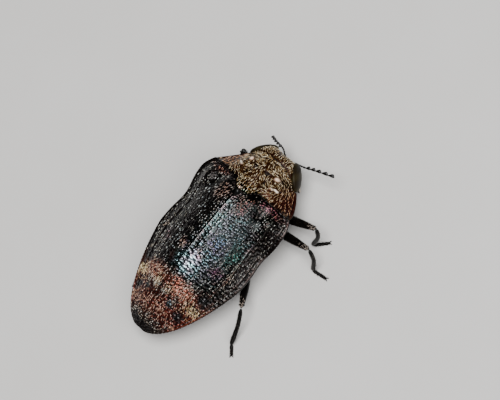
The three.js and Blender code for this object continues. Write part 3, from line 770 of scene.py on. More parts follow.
# Unmarked finishes: the two tones, the roughness and the shader's other settings.
CUTICLES = {
    "limb_hair": ("1c1814", "4c443a", 0.35, {}),
    "black_cuticle": ("030303", "0a0806", 0.2, {"Specular_IOR_Level": 0.4}),
    # Pale knee hairs, partly a painted highlight on the knees.
    "knee_hair_and_highlight": ("b8a090", "f0e0d0", 0.35, {}),
    "shin_cuticle": ("030303", "0c0a08", 0.4, {"Specular_IOR_Level": 0.12}),
    "belly_cuticle": ("17100c", "352418", 0.3, {"Metallic": 0.45}),
}


def material_named(name):
    """The material of that name, made on first use."""
    if name in bpy.data.materials:
        return bpy.data.materials[name]
    if name in CUTICLES:
        first, second, roughness, settings = CUTICLES[name]
        return plain_cuticle(name, rgb(first), rgb(second), roughness, **settings)
    sizes = bpy.context.scene.beetle
    makers = {
        "wing_case": lambda: shell_material(
            name, sizes.disc_colour, rgb("b8b4ac"), 0.7, sizes, Coat_Weight=0.2, Coat_Roughness=0.15
        ),
        "shield": lambda: shell_material(
            name, sizes.bronze_colour, rgb("f4e0b8"), 0.15, sizes, Specular_IOR_Level=0.06
        ),
        "case_hair": lambda: hair_material(name, rgb("c0c2bc"), rgb("a89c90")),
        "bronze_hair": lambda: hair_material(name, rgb("f6e4bc"), rgb("a08c6a")),
        "dark_eye": lambda: eye_material(name),
        "pale_floor": lambda: floor_material(name),
    }
    return makers[name]()


# ---------------------------------------------------------------- shells
def ladder(first, second):
    """Triangles between two lines of point numbers that run side by side."""
    tris, i, j = [], 0, 0
    last_i, last_j = len(first) - 1, len(second) - 1
    while i < last_i or j < last_j:
        if j == last_j or (i < last_i and (i + 1) * last_j <= (j + 1) * last_i):
            tris.append((first[i], first[i + 1], second[j]))
            i += 1
        else:
            tris.append((first[i], second[j + 1], second[j]))
            j += 1
    return np.array(tris)


def arch(rings, top_count):
    """A thin closed shell: each ring goes over the top, `top_count` points, and back below."""
    points, quads, _ = loft(rings)
    count, sides = rings.shape[:2]
    ends = []
    for row in (0, count - 1):
        index = row * sides + np.arange(sides)
        ends.append(ladder(index[:top_count], index[top_count:][::-1]))
    return outward(points[:-2], quads, np.vstack([ends[0][:, ::-1], ends[1]]))


def round_edge(high, low, out, count, bulge):
    """Points of a half round between two lines of points, the upper and the lower."""
    angle = np.linspace(np.pi / 2, -np.pi / 2, count + 2)[1:-1]
    middle, half = (high + low) / 2, (high - low) / 2
    edge = [middle + half * np.sin(a) + out * (bulge * math.cos(a)) for a in angle]
    return np.stack(edge, axis=1)


def padded(field, count, rest=0.0):
    """A field of the top of a shell, followed by one value for the points of edges and underside."""
    return np.hstack([field, np.full((len(field), count), rest)]).ravel()


PIT_ROWS = 6.6  # rows of pits between seam and keel
PIT_STEP = 0.112  # from one pit to the next in a row, mm
KEEL_SHIFT = 0.05  # how far out the keel drifts to the tip, as a share of the half width
KEEL_RIDGE = 0.026  # heights of the raised lines, mm
BORDER_RIDGE = 0.012
SEAM_RIDGE = 0.014
RIM_RIDGE = 0.008
GUTTER = 0.014  # depth of the hollow beside a rim
BORDER_U = 0.93  # the line inside the margin
MARGIN_ROUND = 0.022  # how far the round edge of a wing case bulges out
TOOTH_STEP = 0.075  # from one tooth of the margin to the next, mm
TOOTH = 0.014
BASE_GAP = 0.004  # between pronotum and wing cases, which look closed
RIB = 0.004  # half height of the lengthwise ribs of the smooth part


def case_place(u, v, side):
    """The smooth top of a wing case; u runs from seam to margin, v from base to tip."""
    start = base_line(mix(seam_edge(BASE_Y), PRONOTUM_HALF, u)) - BASE_GAP
    y = mix(start, APEX_Y, 1 - (1 - v) ** 1.12)
    x = mix(seam_edge(y), case_half(y), u)
    return np.stack([side * x, y, case_top(x, y)], axis=-1)


def keel_at(y):
    """How far out the keel runs, as a share of the half width."""
    return KEEL_U + KEEL_SHIFT * smooth((0.8 - y) / 3)


def case_relief(u, x, y, seed, sizes):
    """Fine relief of a wing case: height in mm, share in a pit and share on a crest."""
    half = case_half(y)
    row_width = half * KEEL_U / PIT_ROWS
    loose = smooth((y + 0.35) / 0.7)
    across = u / KEEL_U * PIT_ROWS + ripple(x, y, 0.17, seed) * (0.1 + 0.3 * loose)
    row = np.floor(across)
    along = y / PIT_STEP + ripple(x, y, 0.2, seed + 1) * (0.1 + 0.35 * loose)
    along = along + 3 * scatter_value(row, 0, seed + 2)
    step = np.floor(along)
    dx = (across - row - 0.5 + 0.25 * (scatter_value(row, step, seed + 3) - 0.5)) * row_width
    dy = (along - step - 0.5 + 0.25 * (scatter_value(row, step, seed + 4) - 0.5)) * PIT_STEP
    wide = sizes.pit_width * (0.75 + 0.5 * scatter_value(row, step, seed + 5))
    pit = np.exp(-((dx**2 + dy**2) / wide**2))
    polished = bell(np.abs(x) - 0.26, 0.24) * smooth((-0.4 - y) / 0.25) * smooth((y + 1.3) / 0.25)
    polished = polished * mix(0.25, 1.0, smooth(x / 0.1))
    rough = 1 - 0.6 * polished
    grain = granules(np.abs(x), y, 0.062, 0.074, seed + 10)
    fine = granules(np.abs(x), y, 0.034, 0.03, seed + 20)
    coarse = granules(np.abs(x), y, 0.085, 0.115, seed + 30)
    by_seam = bell(np.abs(x) - 0.12, 0.2) * smooth((1.25 - y) / 0.3) * smooth((y + 0.6) / 0.3)
    by_seam = by_seam * mix(0.25, 1.0, smooth(x / 0.1))
    grain = mix(grain, coarse**1.6 * 1.2, 0.85 * by_seam)
    grain = mix(grain, 0.55 * fine + 0.45 * grain, smooth((u - 0.35) / 0.2) * smooth((0.7 - u) / 0.1))
    keel = bell((u - keel_at(y)) * half, 0.015)
    keel = keel * smooth((1.35 - y) / 0.3) * mix(0.35, 1.0, smooth((y + 1.9) / 0.8))
    border = bell((u - BORDER_U) * half, 0.011)
    seam = bell(np.abs(x) - seam_edge(y) - 0.008, 0.008) * mix(0.25, 1.0, smooth((y + 1.6) / 0.8))
    rim = smooth((u - 0.98) / 0.015)
    gutter = bell((u - (BORDER_U + 0.985) / 2) * half, 0.02)
    line = np.maximum.reduce([keel, border, seam, rim])
    calm = 1 - line
    rib = np.cos(2 * np.pi * (across - row - 0.5)) * polished
    dent = pit * (1 - 0.6 * loose) * (1 - 0.4 * polished) * sizes.pit_depth
    height = calm * (grain * rough * sizes.grain_height - dent - RIB * rib)
    height = height + KEEL_RIDGE * keel + BORDER_RIDGE * border + SEAM_RIDGE * seam
    height = height + RIM_RIDGE * rim - GUTTER * gutter
    # The crest share keeps the shell's full colour, a painted highlight, on grain tops, the smooth part and
    # the raised lines; the pit share is painted dark as shade.
    crest = calm * mix(grain, 1.0, 0.7 * polished) + line * 0.8
    return height, calm * pit * (1 - 0.5 * loose), np.clip(crest, 0, 1)


def build_wing_cases(sizes):
    """Both wing cases: grained tops, toothed margins and smooth undersides."""
    columns, rows, edge_count, under_count = sizes.case_columns, sizes.case_rows, 6, 16
    u, v = np.meshgrid(np.linspace(0, 1, columns), np.linspace(0, 1, rows))
    below, down = np.meshgrid(np.linspace(1, 0, under_count), v[:, 0])
    for name, side in SIDES.items():
        top = case_place(u, v, side)
        x, y = top[..., 0], top[..., 1]
        height, pit, crest = case_relief(u, x, y, 40 + 20 * side, sizes)
        top = top + grid_normals(top) * height[..., None]
        under = case_place(below, down, side)
        under[..., 2] -= mix(SHELL, SHELL_EDGE, below**6)
        out = np.array([side, 0.0, 0.0])
        edge = round_edge(top[:, -1], under[:, 0], out, edge_count, MARGIN_ROUND)
        margin_y = y[:, -1]
        teeth = TOOTH * np.abs(np.sin(np.pi * margin_y / TOOTH_STEP)) * mix(0.4, 1.0, smooth(-margin_y / 2))
        edge[..., 0] += side * teeth[:, None]
        rest = edge_count + under_count
        past_keel = smooth((u - keel_at(y)) * case_half(y) / 0.04)
        values = {"pit": padded(pit, rest), "crest": padded(crest, rest)}
        # The material adds painted shade over the left half to this share of the flank.
        values["flank_and_left_shade"] = padded(past_keel, rest, 1.0)
        shape = arch(np.concatenate([top, edge, under], axis=1), columns)
        material = material_named("wing_case")
        make_piece(f"wing_case_{name}", shape, material, [f"elytron_{name}"], values)


def build_scutellum():
    """The small three-sided plate between the bases of the wing cases."""
    count, under_count = 25, 9
    u, v = np.meshgrid(np.linspace(0, 1, count), np.linspace(0, 1, count))
    below, down = np.meshgrid(np.linspace(1, 0, under_count), v[:, 0])

    def sheet(u, v, drop):
        y = mix(SCUTELLUM_FRONT - 0.005, SCUTELLUM_TIP + 0.02, v)
        x = (2 * u - 1) * mix(SCUTELLUM_HALF, 0.012, v**1.3)
        return np.stack([x, y, case_top(x, y) - drop], axis=-1)

    dent = 0.012 * bell(u - 0.5, 0.3) - 0.02 * bell(v, 0.25)
    shape = arch(np.concatenate([sheet(u, v, dent), sheet(below, down, SHELL)], axis=1), count)
    make_piece("scutellum_plate", shape, material_named("black_cuticle"), ["scutellum"])


# ---------------------------------------------------------------- pronotum, head and eyes
EYE_PLACE = (0.61, 2.7, 0.93)
EYE_RADII = (0.12, 0.395, 0.28)
EYE_YAW = 0.7


def eye_shape(side, grow, columns=72, rows=48):
    """An eye, or the space for it where it is grown by a gap."""
    centre = EYE_PLACE * np.array([side, 1, 1])
    radii = [radius + grow for radius in EYE_RADII]
    return ellipsoid(centre, radii, (0, 0, side * EYE_YAW), columns, rows)


def in_eye(points, side, radii):
    """Points in an eye's own frame, where its skin is at 1, with its middle and its turn."""
    centre = EYE_PLACE * np.array([side, 1, 1])
    turn = np.array(Matrix.Rotation(side * EYE_YAW, 3, "Z"))
    return (points - centre) @ turn / radii, centre, turn


def socket(points, side):
    """Points inside an eye moved to the floor of its socket, along the eye's short axis."""
    grown = np.array(EYE_RADII) + GAP / 2
    local, centre, turn = in_eye(points, side, grown)
    room = 1 - local[..., 1] ** 2 - local[..., 2] ** 2
    floor = -side * np.sqrt(np.maximum(room, 0))
    inside = (room > 0) & (side * (local[..., 0] - floor) > 0)
    local[..., 0] = np.where(inside, floor, local[..., 0])
    return (local * grown) @ turn.T + centre


HEM_LENGTH = 0.1  # over this the pronotum's base bends down to the wing cases
HEM_STEP = 0.015


def hem(x, y):
    """How far the base of the pronotum bends down to lie on the wing cases."""
    base = base_line(x)
    above = pronotum_top(x, base) - case_top(x, base - GAP) - HEM_STEP
    return np.maximum(above, 0) * np.exp((base - y) / HEM_LENGTH)


def shield_place(u, v):
    """The smooth top of the pronotum; u runs from left to right, v from base to front."""
    s = 2 * u - 1
    y = mix(base_line(s * PRONOTUM_HALF), collar_line(s * COLLAR_HALF), v)
    x = s * pronotum_half(y)
    return np.stack([x, y, pronotum_top(x, y) - hem(x, y)], axis=-1)


# Finer bumps and hollows of the pronotum: height, x, y and spread across and along.
SHIELD_DETAIL = {
    "side knob": (0.035, 0.478, 2.317, 0.09, 0.08),
    "ridge inner": (0.03, 0.53, 2.015, 0.06, 0.035),
    "ridge middle": (0.03, 0.62, 2.06, 0.06, 0.035),
    "ridge outer": (0.03, 0.7, 2.11, 0.06, 0.035),
    "deep pit": (-0.05, 0.335, 2.01, 0.07, 0.1),
    "middle hollow": (-0.03, 0.2, 2.25, 0.08, 0.08),
    "front hollow": (-0.03, 0.64, 2.38, 0.1, 0.08),
    "base hollow": (-0.03, 0.45, 1.83, 0.12, 0.06),
}


# Painted highlights on the pronotum's knob and ridge, where its skin is as pale as on the crests of its
# grains: share, x, y and spread.
SHIELD_HIGHLIGHTS = {
    "knob": (1.0, 0.478, 2.317, 0.08, 0.07),
    "ridge": (1.0, 0.61, 2.06, 0.14, 0.04),
}
SHIELD_RIM = 0.01
SHIELD_ROUND = 0.025  # how far its round side edge bulges out


def shield_relief(u, v, x, y, sizes):
    """Fine relief of the pronotum: height in mm, share in a gutter and share on a crest."""
    grain = granules(x, y, 0.05, 0.085, 71)
    folds = ripple(x, y, 0.17, 73)
    side = np.abs(2 * u - 1)
    rim = np.maximum(smooth((side - 0.975) / 0.015), smooth((v - 0.98) / 0.012))
    gutter = np.maximum(bell(side - 0.955, 0.01), 0.4 * bell(v - 0.96, 0.012))
    height = (1 - rim) * (grain * sizes.grain_height * 0.8 + folds * 0.008)
    height = height + relief(SHIELD_DETAIL, x, y) + SHIELD_RIM * rim - GUTTER * gutter
    # Painted highlight on the knob and ridge and on the grain tops, painted shade in the gutter beside the
    # rim.
    bare = relief(SHIELD_HIGHLIGHTS, x, y)
    return height, 0.8 * gutter, np.clip(np.maximum(grain * 0.8, bare) + 0.4 * rim, 0, 1)


def build_pronotum(sizes):
    """The pronotum, a shell with hollows for the eyes."""
    columns, rows, edge_count, under_count = 230, 110, 5, 24
    u, v = np.meshgrid(np.linspace(0, 1, columns), np.linspace(0, 1, rows))
    below, up = np.meshgrid(np.linspace(1, 0, under_count), v[:, 0])
    top = shield_place(u, v)
    height, pit, crest = shield_relief(u, v, top[..., 0], top[..., 1], sizes)
    top = top + grid_normals(top) * height[..., None]
    under = shield_place(below, up)
    under[..., 2] -= mix(PRONOTUM_SHELL, SHELL_EDGE, np.abs(2 * below - 1) ** 6)
    out = np.array([1.0, 0, 0])
    right = round_edge(top[:, -1], under[:, 0], out, edge_count, SHIELD_ROUND)
    left = round_edge(top[:, 0], under[:, -1], -out, edge_count, SHIELD_ROUND)
    shape = arch(np.concatenate([top, right, under, left[:, ::-1]], axis=1), columns)
    rest = under_count + 2 * edge_count
    values = {"pit": padded(pit, rest), "crest": padded(crest, rest)}
    piece = make_piece("pronotum_shield", shape, material_named("shield"), ["pronotum"], values)
    carve(piece, [eye_shape(side, GAP / 2) for side in SIDES.values()])


def head_place(u, angle):
    """The smooth front of the head; u runs from left to right, the angle from top to mouth."""
    x = HEAD_HALF * np.sin(np.pi / 2 * (2 * u - 1))
    back = collar_line(x) + GAP
    depth = np.maximum(head_front(x) - back, 0.05)
    top = pronotum_top(x, collar_line(x)) - 0.02
    low = MOUTH_Z + 0.22 * np.abs(x / HEAD_HALF) ** 3
    groove = 1 - GROOVE / depth * bell(x, 0.075)
    z = mix(top, low, (1 - np.cos(angle)) / 2)
    lean = FACE_LEAN * np.clip((top - z) / (top - low), 0, 1) ** 2.2
    reach = np.maximum(np.sin(angle), 0) ** 0.7 * np.maximum(depth * groove - lean, 0.04)
    return np.stack([x, back + reach, z], axis=-1)


def build_head(sizes):
    """The head from side to side, with its grained face and the sockets of the eyes."""
    stations, arc, wall = 150, 80, 8
    angle, u = np.meshgrid(np.linspace(0, np.pi, arc), np.linspace(0, 1, stations))
    front = head_place(u, angle)
    normals = grid_normals(front)
    normals = np.where(normals[..., 1].mean() < 0, -normals, normals)
    x, z = front[..., 0], front[..., 2]
    grain = granules(x, z, 0.05, 0.05, 81)
    fade_out = np.sin(angle) ** 0.5 * smooth((HEAD_HALF - np.abs(x)) / 0.06)
    front = front + normals * (grain * sizes.grain_height * 0.8 * fade_out)[..., None]
    steps = np.linspace(0, 1, wall + 2)[1:-1]
    back = np.stack([mix(front[:, -1], front[:, 0], step) for step in steps], axis=1)
    # Painted highlight on the grain tops of the face; the shell material paints shade between them.
    crest = np.append(padded(0.8 * grain, wall), [0.0, 0.0])
    values = {"pit": np.zeros(len(crest)), "crest": crest}
    rings = np.concatenate([front, back], axis=1)
    for side in SIDES.values():
        rings = socket(rings, side)
    make_piece("head_capsule", loft(rings), material_named("shield"), ["head"], values)


def build_eyes():
    """Both compound eyes."""
    for name, side in SIDES.items():
        shape = eye_shape(side, 0.0, 120, 80)
        make_piece(f"compound_eye_{name}", shape, material_named("dark_eye"), [f"eye_{name}"])


# ---------------------------------------------------------------- mouth parts
def build_mouth():
    """The lip, with a small middle ridge, and the jaws and jointed palps on both sides."""
    look = material_named("black_cuticle")
    lip = ellipsoid((0, 2.8, 0.4), (0.12, 0.05, 0.05), (0.5, 0, 0), 32, 20)
    lip[0][:, 2] += 0.02 * bell(lip[0][:, 0], 0.03)
    make_piece("upper_lip", lip, look, ["labrum"])
    for name, side in SIDES.items():
        way = np.array([(0.18, 2.76, 0.39), (0.14, 2.79, 0.31), (0.035, 2.81, 0.25)]) * (side, 1, 1)
        jaw = limb(way, lambda t: 0.05 - 0.035 * t, lambda t: 0.06 - 0.04 * t, 24, 16)
        make_piece(f"jaw_{name}", jaw, look, [f"mandible_{name}"])
        way = np.array([(0.28, 2.7, 0.39), (0.31, 2.74, 0.32), (0.26, 2.8, 0.26)]) * (side, 1, 1)
        half = lambda t: 0.028 * (0.75 + 0.25 * np.abs(np.sin(3 * np.pi * t)) ** 0.5)
        palp = limb(way, half, half, 36, 14, (1, 0, 0))
        make_piece(f"palp_{name}_jointed", palp, look, [f"palp_{name}"])


# ---------------------------------------------------------------- feelers
FEELER_SEGMENTS = 11
SAW_FROM = 6  # the first of the saw-toothed segments, counted from 0
FEELER_WAYS = {
    "left": [
        (-0.17, 2.92, 0.68), (-0.21, 2.99, 0.73), (-0.3, 3.06, 0.81),
        (-0.46, 3.09, 1.02), (-0.56, 3.13, 1.24),
    ],
    "right": [
        (0.17, 2.92, 0.68), (0.28, 2.99, 0.67), (0.46, 3.04, 0.69),
        (0.86, 3.18, 0.79), (1.39, 3.36, 0.86),
    ],
}
FEELER_UP = (0.2, -0.3, 1.0)
FEELER_FLAT = 0.72


def feeler_half(number, within):
    """Half width of a feeler's segment at a place from 0 to 1 within it."""
    ends = np.maximum(1 - np.abs(2 * within - 1) ** 6, 0.05) ** 0.5
    if number < 2:
        return (0.034 + 0.016 * np.sin(np.pi * within)) * ends
    if number < SAW_FROM:
        return (0.021 + 0.009 * within) * ends
    return (0.02 + 0.032 * np.sin(np.pi * within**1.7)) * ends


def feeler_segment(way, number):
    """One segment, with its tooth drawn to one side where it is a saw-toothed one."""
    start, end = number / FEELER_SEGMENTS, (number + 1.04) / FEELER_SEGMENTS
    stops, _ = curve_points(way, np.linspace(start, min(end, 1), 6))
    width = lambda t: feeler_half(number, t)
    depth = lambda t: width(t) * FEELER_FLAT
    tooth = (lambda t: -0.6 * (width(t) - 0.02)) if number >= SAW_FROM else None
    return limb(stops, width, depth, 16, 18, FEELER_UP, shift=tooth)


def build_feelers():
    """Both feelers, each one piece of joined segments."""
    for name, way in FEELER_WAYS.items():
        parts = [feeler_segment(way, number) for number in range(FEELER_SEGMENTS)]
        look = material_named("black_cuticle")
        make_piece(f"feeler_{name}", join(parts), look, [f"antenna_{name}"])


# ---------------------------------------------------------------- legs
# Each leg in mm: root of the thigh, how far its middle sags and knee; bend of the shin, ankle and toe.
LEGS = {
    "front_right": (
        (0.65, 1.635, 0.445), 0.02, (2.0, 2.03, 0.93),
        (2.04, 1.9, 0.6), (1.85, 1.66, 0.105), (2.17, 1.99, 0.05),
    ),
    "front_left": (
        (-0.64, 1.58, 0.4), 0.13, (-1.14, 2.35, 0.86),
        (-1.13, 2.3, 0.48), (-1.02, 1.96, 0.105), (-1.14, 2.4, 0.05),
    ),
    "middle_right": (
        (0.71, 1.285, 0.42), 0.02, (2.22, 1.5, 0.92),
        (2.36, 1.38, 0.58), (2.34, 1.16, 0.105), (2.76, 1.22, 0.05),
    ),
    "middle_left": (
        (-0.71, 1.2, 0.405), 0.09, (-1.4, 0.02, 0.66),
        (-1.5, -0.2, 0.4), (-1.56, -0.5, 0.105), (-1.68, -0.88, 0.05),
    ),
    "hind_right": (
        (0.95, 0.18, 0.425), 0.05, (1.81, -0.82, 0.79),
        (1.92, -1.22, 0.46), (1.98, -1.74, 0.105), (2.17, -1.94, 0.05),
    ),
    "hind_left": (
        (-0.92, 0.15, 0.42), 0.1, (-1.38, -1.04, 0.64),
        (-1.44, -1.42, 0.4), (-1.42, -1.9, 0.105), (-1.28, -2.3, 0.05),
    ),
}
# Hips in mm: middle, half sizes and turn.
COXAE = {
    "front": ((0.38, 1.7, 0.44), (0.25, 0.19, 0.18), -0.2),
    "middle": ((0.44, 1.25, 0.42), (0.26, 0.18, 0.16), 0.1),
    "hind": ((0.5, 0.2, 0.46), (0.44, 0.15, 0.12), -0.1),
}
FEMUR_HALF = 0.122
FEMUR_FLAT = 0.62
TIBIA_HALF = 0.07
KNEE_REACH = 0.03  # from the knee to the start of the shin
SHIN_UP = (1, 0.3, 0)
ANKLE_DROP = 0.02  # how far the shin ends below its ankle
ANKLE_OVERLAP = 0.02  # how far the foot begins behind the end of the shin
ANKLE_RISE = 0.03  # how much higher the foot begins than it runs
FOOT_HALF = 0.055
FOOT_FLAT = 0.75  # depth against width
FOOT_Z = 0.021
PAD = (0.03, 0.024, 0.014)  # half sizes of the pads under a foot
FOOT_SEGMENTS = 5
CLAW = 0.085
CLAW_HALF = 0.02
CLAW_TOP = 0.055
CLAW_TIP = 0.016


def round_ends(t):
    """Share of a limb's width, full along its middle and less at both ends."""
    return np.maximum(0.12, 1 - np.abs(2 * t - 1) ** 8) ** 0.5


def femur_stops(leg):
    """The curve of a thigh."""
    root, sag, knee = (np.array(part, float) for part in LEGS[leg][:3])
    return [root, (root + knee) / 2 - (0, 0, sag), knee]


def femur_half(t):
    """Half width of a thigh, which swells before its middle."""
    return FEMUR_HALF * round_ends(t) * (0.5 + 0.5 * np.sin(np.pi * (0.25 + 0.72 * t)))


def femur_depth(t):
    """Half depth of a thigh."""
    return femur_half(t) * FEMUR_FLAT


def tibia_stops(leg):
    """The curve of a shin."""
    knee, bend, ankle = (np.array(part, float) for part in LEGS[leg][2:5])
    return [knee + unit(bend - knee) * KNEE_REACH, bend, ankle - (0, 0, ANKLE_DROP)]


def tibia_half(t):
    """Half width of a shin, which widens to the foot."""
    return TIBIA_HALF * round_ends(t) * (0.85 + 0.15 * t - 0.1 * np.sin(np.pi * t))


def foot_stops(leg):
    """The curve of a foot, which lies on the ground."""
    ankle, toe = (np.array(part, float) for part in LEGS[leg][4:])
    start = ankle - unit((toe - ankle) * (1, 1, 0)) * ANKLE_OVERLAP
    start[2] = FOOT_Z + ANKLE_RISE
    toe[2] = FOOT_Z
    middle = (start + toe) / 2
    middle[2] = FOOT_Z
    return [start, middle, toe]


def coxa_shape(leg, grow=0.0):
    """A hip, or the space for it where it is grown by a gap."""
    kind, side_name = leg.split("_")
    side = SIDES[side_name]
    centre, radii, turn = COXAE[kind]
    centre = (side * centre[0], centre[1], centre[2] + PITCH * centre[1])
    radii = [radius + grow for radius in radii]
    points, quads, tris = ellipsoid(centre, radii, (0, side * -0.12, side * turn))
    if not grow:
        points = points - unit(points - centre) * (0.012 * bell((points[:, 1:2] - centre[1]), 0.03))
    return points, quads, tris


def spur(root, ahead, length, half):
    """A short pointed spine."""
    root, ahead = np.array(root, float), unit(np.array(ahead, float))
    stops = [root, root + ahead * length * 0.5, root + ahead * length]
    taper = lambda t: half * (1 - 0.85 * t)
    return limb(stops, taper, taper, 5, 8)


def build_thigh(leg):
    """A thigh with the small ring at its root and a lobe on each side of the knee."""
    stops = femur_stops(leg)
    thigh = limb(stops, femur_half, femur_depth, 64, 32)
    (root, near_knee), (out, ahead) = curve_points(stops, np.array([0.0, 0.93]))
    ring_stops = [root + out * reach for reach in (-0.03, 0.03, 0.09)]
    ring = limb(ring_stops, lambda t: 0.075 * round_ends(t), lambda t: 0.06 * round_ends(t), 16, 20)
    across = unit(np.cross(ahead, UP))
    lobes = [
        ellipsoid(near_knee + across * side * 0.045, (0.045, 0.03, 0.04), (0, 0, 0.4), 20, 12)
        for side in (-1, 1)
    ]
    shape = join([thigh, ring, *lobes])
    make_piece(f"thigh_{leg}", shape, material_named("black_cuticle"), [f"femur_{leg}"])


def build_shin(leg):
    """A shin with two spurs at its end."""
    stops = tibia_stops(leg)
    shin = limb(stops, tibia_half, tibia_half, 56, 24, SHIN_UP)
    ends, ahead = curve_points(stops, np.array([0.96]))
    across = unit(np.cross(ahead[0], UP))
    spurs = [
        spur(ends[0] + across * s * 0.03, ahead[0] + across * s * 0.35 - (0, 0, 0.1), 0.055, 0.009)
        for s in (-1, 1)
    ]
    shape = join([shin, *spurs])
    shape[0][:, 2] = np.maximum(shape[0][:, 2], 0.004)
    make_piece(f"shin_{leg}", shape, material_named("shin_cuticle"), [f"tibia_{leg}"])


def claw(leg, side):
    """A hooked claw with a small tooth at its root."""
    start, _, toe = foot_stops(leg)
    ahead = unit((toe - start) * (1, 1, 0))
    aside = np.array([-ahead[1], ahead[0], 0]) * side
    root = np.array([*(toe - ahead * 0.03)[:2], FOOT_Z + 0.01])
    bend = np.array([*(root + ahead * CLAW * 0.75 + aside * CLAW * 0.4)[:2], CLAW_TOP])
    tip = np.array([*(root + ahead * CLAW + aside * CLAW * 0.6)[:2], CLAW_TIP])
    half = lambda t: CLAW_HALF * (1 - 0.8 * t)
    hook = limb([root, bend, tip], half, half, 16, 12, floor=0.0)
    tooth = spur(root + ahead * 0.03 + aside * 0.02, ahead + aside * 0.6 - (0, 0, 0.3), 0.04, 0.012)
    tooth[0][:, 2] = np.maximum(tooth[0][:, 2], 0.0)
    return join([hook, tooth])


def build_foot(leg):
    """Segments that widen forward, with lobed pads under all but the last, and two claws."""
    stops = foot_stops(leg)
    parts = []
    for number in range(FOOT_SEGMENTS):
        start, end = number / FOOT_SEGMENTS, min((number + 1.25) / FOOT_SEGMENTS, 1.0)
        way, _ = curve_points(stops, np.linspace(start, end, 5))
        last = number == FOOT_SEGMENTS - 1
        half = lambda t, last=last: FOOT_HALF * (0.62 + (0.1 if last else 0.4) * t**1.4) * round_ends(t)
        parts.append(limb(way, half, lambda t: half(t) * FOOT_FLAT, 12, 16, floor=0.0, phase=0))
        if not last:
            place, ahead = curve_points(stops, np.array([end - 0.02]))
            aside = unit(np.cross(ahead[0], UP))
            for s in (-1, 1):
                centre = place[0] + aside * s * 0.024
                middle = (centre[0], centre[1], PAD[2])
                parts.append(ellipsoid(middle, PAD, (0, 0, s * 0.5), 16, 10))
    parts += [claw(leg, side) for side in SIDES.values()]
    make_piece(f"foot_{leg}", join(parts), material_named("shin_cuticle"), [f"tarsus_{leg}"])


def build_legs():
    """Hip, thigh, shin and foot of each leg."""
    for leg in LEGS:
        make_piece(f"hip_{leg}", coxa_shape(leg), material_named("black_cuticle"), [f"coxa_{leg}"])
        build_thigh(leg)
        build_shin(leg)
        build_foot(leg)


# ---------------------------------------------------------------- underside
# Plates of the underside: rear edge, front edge and the coxae that sit in them.
PLATES = {
    "prosternum": (1.435, None, ("front", "middle")),
    "mesosternum": (1.075, 1.43, ("front", "middle")),
    "metasternum": (0.005, 1.07, ("middle", "hind")),
    "ventrite_1": (-1.025, 0.0, ("hind",)),
    "ventrite_3": (-1.645, -1.03, ()),
    "ventrite_4": (-2.225, -1.65, ()),
    "ventrite_5": (-2.9, -2.23, ()),
}


def plate_place(name, u, v):
    """The lower face of a plate; u runs from left to right, v from rear to front."""
    rear, front, _ = PLATES[name]
    s = 2 * u - 1
    end = collar_line(s * COLLAR_HALF) - 0.01 if front is None else front
    y = mix(rear, end, v)
    x = s * wall_half(y)
    return np.stack([x, y, np.minimum(belly(s, y), roof(x, y) - 0.03)], axis=-1)


def build_underside():
    """The plates of breast and belly, with hollows for the hips and the eyes."""
    columns, inner = 120, 14
    for name, (rear, front, kinds) in PLATES.items():
        rows = 16 + int(40 * ((front or COLLAR_Y) - rear))
        u, v = np.meshgrid(np.linspace(0, 1, columns), np.linspace(0, 1, rows))
        low = plate_place(name, u, v)
        net = ripple(low[..., 0], low[..., 1], 0.07, 91)
        rim = np.maximum(smooth((0.05 - v) / 0.05), smooth((v - 0.95) / 0.05))
        steep = smooth((0.97 - np.abs(2 * u - 1)) / 0.05)
        low[..., 2] += steep * (net * 0.006 + 0.012 * rim)
        above, up = np.meshgrid(np.linspace(1, 0, inner), v[:, 0])
        high = plate_place(name, above, up)
        high[..., 2] = roof(high[..., 0], high[..., 1])
        shape = arch(np.concatenate([low, high], axis=1), columns)
        piece = make_piece(f"{name}_plate", shape, material_named("belly_cuticle"), [name])
        pits = [coxa_shape(f"{kind}_{side}", GAP / 2) for kind in kinds for side in SIDES]
        if name == "prosternum":
            pits += [eye_shape(side, GAP / 2) for side in SIDES.values()]
        carve(piece, pits)


# ---------------------------------------------------------------- coat of hairs
HAIR_RINGS = 4
HAIR_SIDES = 3
TUFT_LENGTH = 1.5  # hairs of the cream tufts against the others
HAIR_RISE = 0.007  # roots stand on the grains of the skin
HAIR_CLEARANCE = 0.02  # how high over the ground the legs' hairs begin
HAIR_LOWEST = 0.002  # and how far down they reach
PATCH_UV = 0.003  # each hair's patch on the unwrap
BARE = -0.25  # under this cover even the rows of hairs stop


def surface_frames(surface, u, v, outer):
    """Points, unit normals and the two ways along a surface at (u, v).

    The normals point to the side that `outer` is on, one way for all or a function of the points.
    """
    step = 1e-3
    points = surface(u, v)
    along_u = unit(surface(np.minimum(u + step, 1), v) - surface(np.maximum(u - step, 0), v))
    along_v = unit(surface(u, np.minimum(v + step, 1)) - surface(u, np.maximum(v - step, 0)))
    normals = unit(np.cross(along_u, along_v))
    away = outer(points, v) if callable(outer) else np.asarray(outer, float)
    facing = np.sign(np.sum(normals * away, axis=1, keepdims=True))
    return points, normals * np.where(facing == 0, 1, facing), along_u, along_v


def scatter_roots(rng, columns, rows, u_range=(0, 1), v_range=(0, 1), spread=1.0):
    """Places (u, v), one in each cell of a grid, up to `spread` of a cell from its middle."""
    u, v = np.meshgrid(np.arange(columns), np.arange(rows))
    u = (u.ravel() + 0.5 + spread * (rng.random(u.size) - 0.5)) / columns
    v = (v.ravel() + 0.5 + spread * (rng.random(v.size) - 0.5)) / rows
    return mix(*u_range, u), mix(*v_range, v)


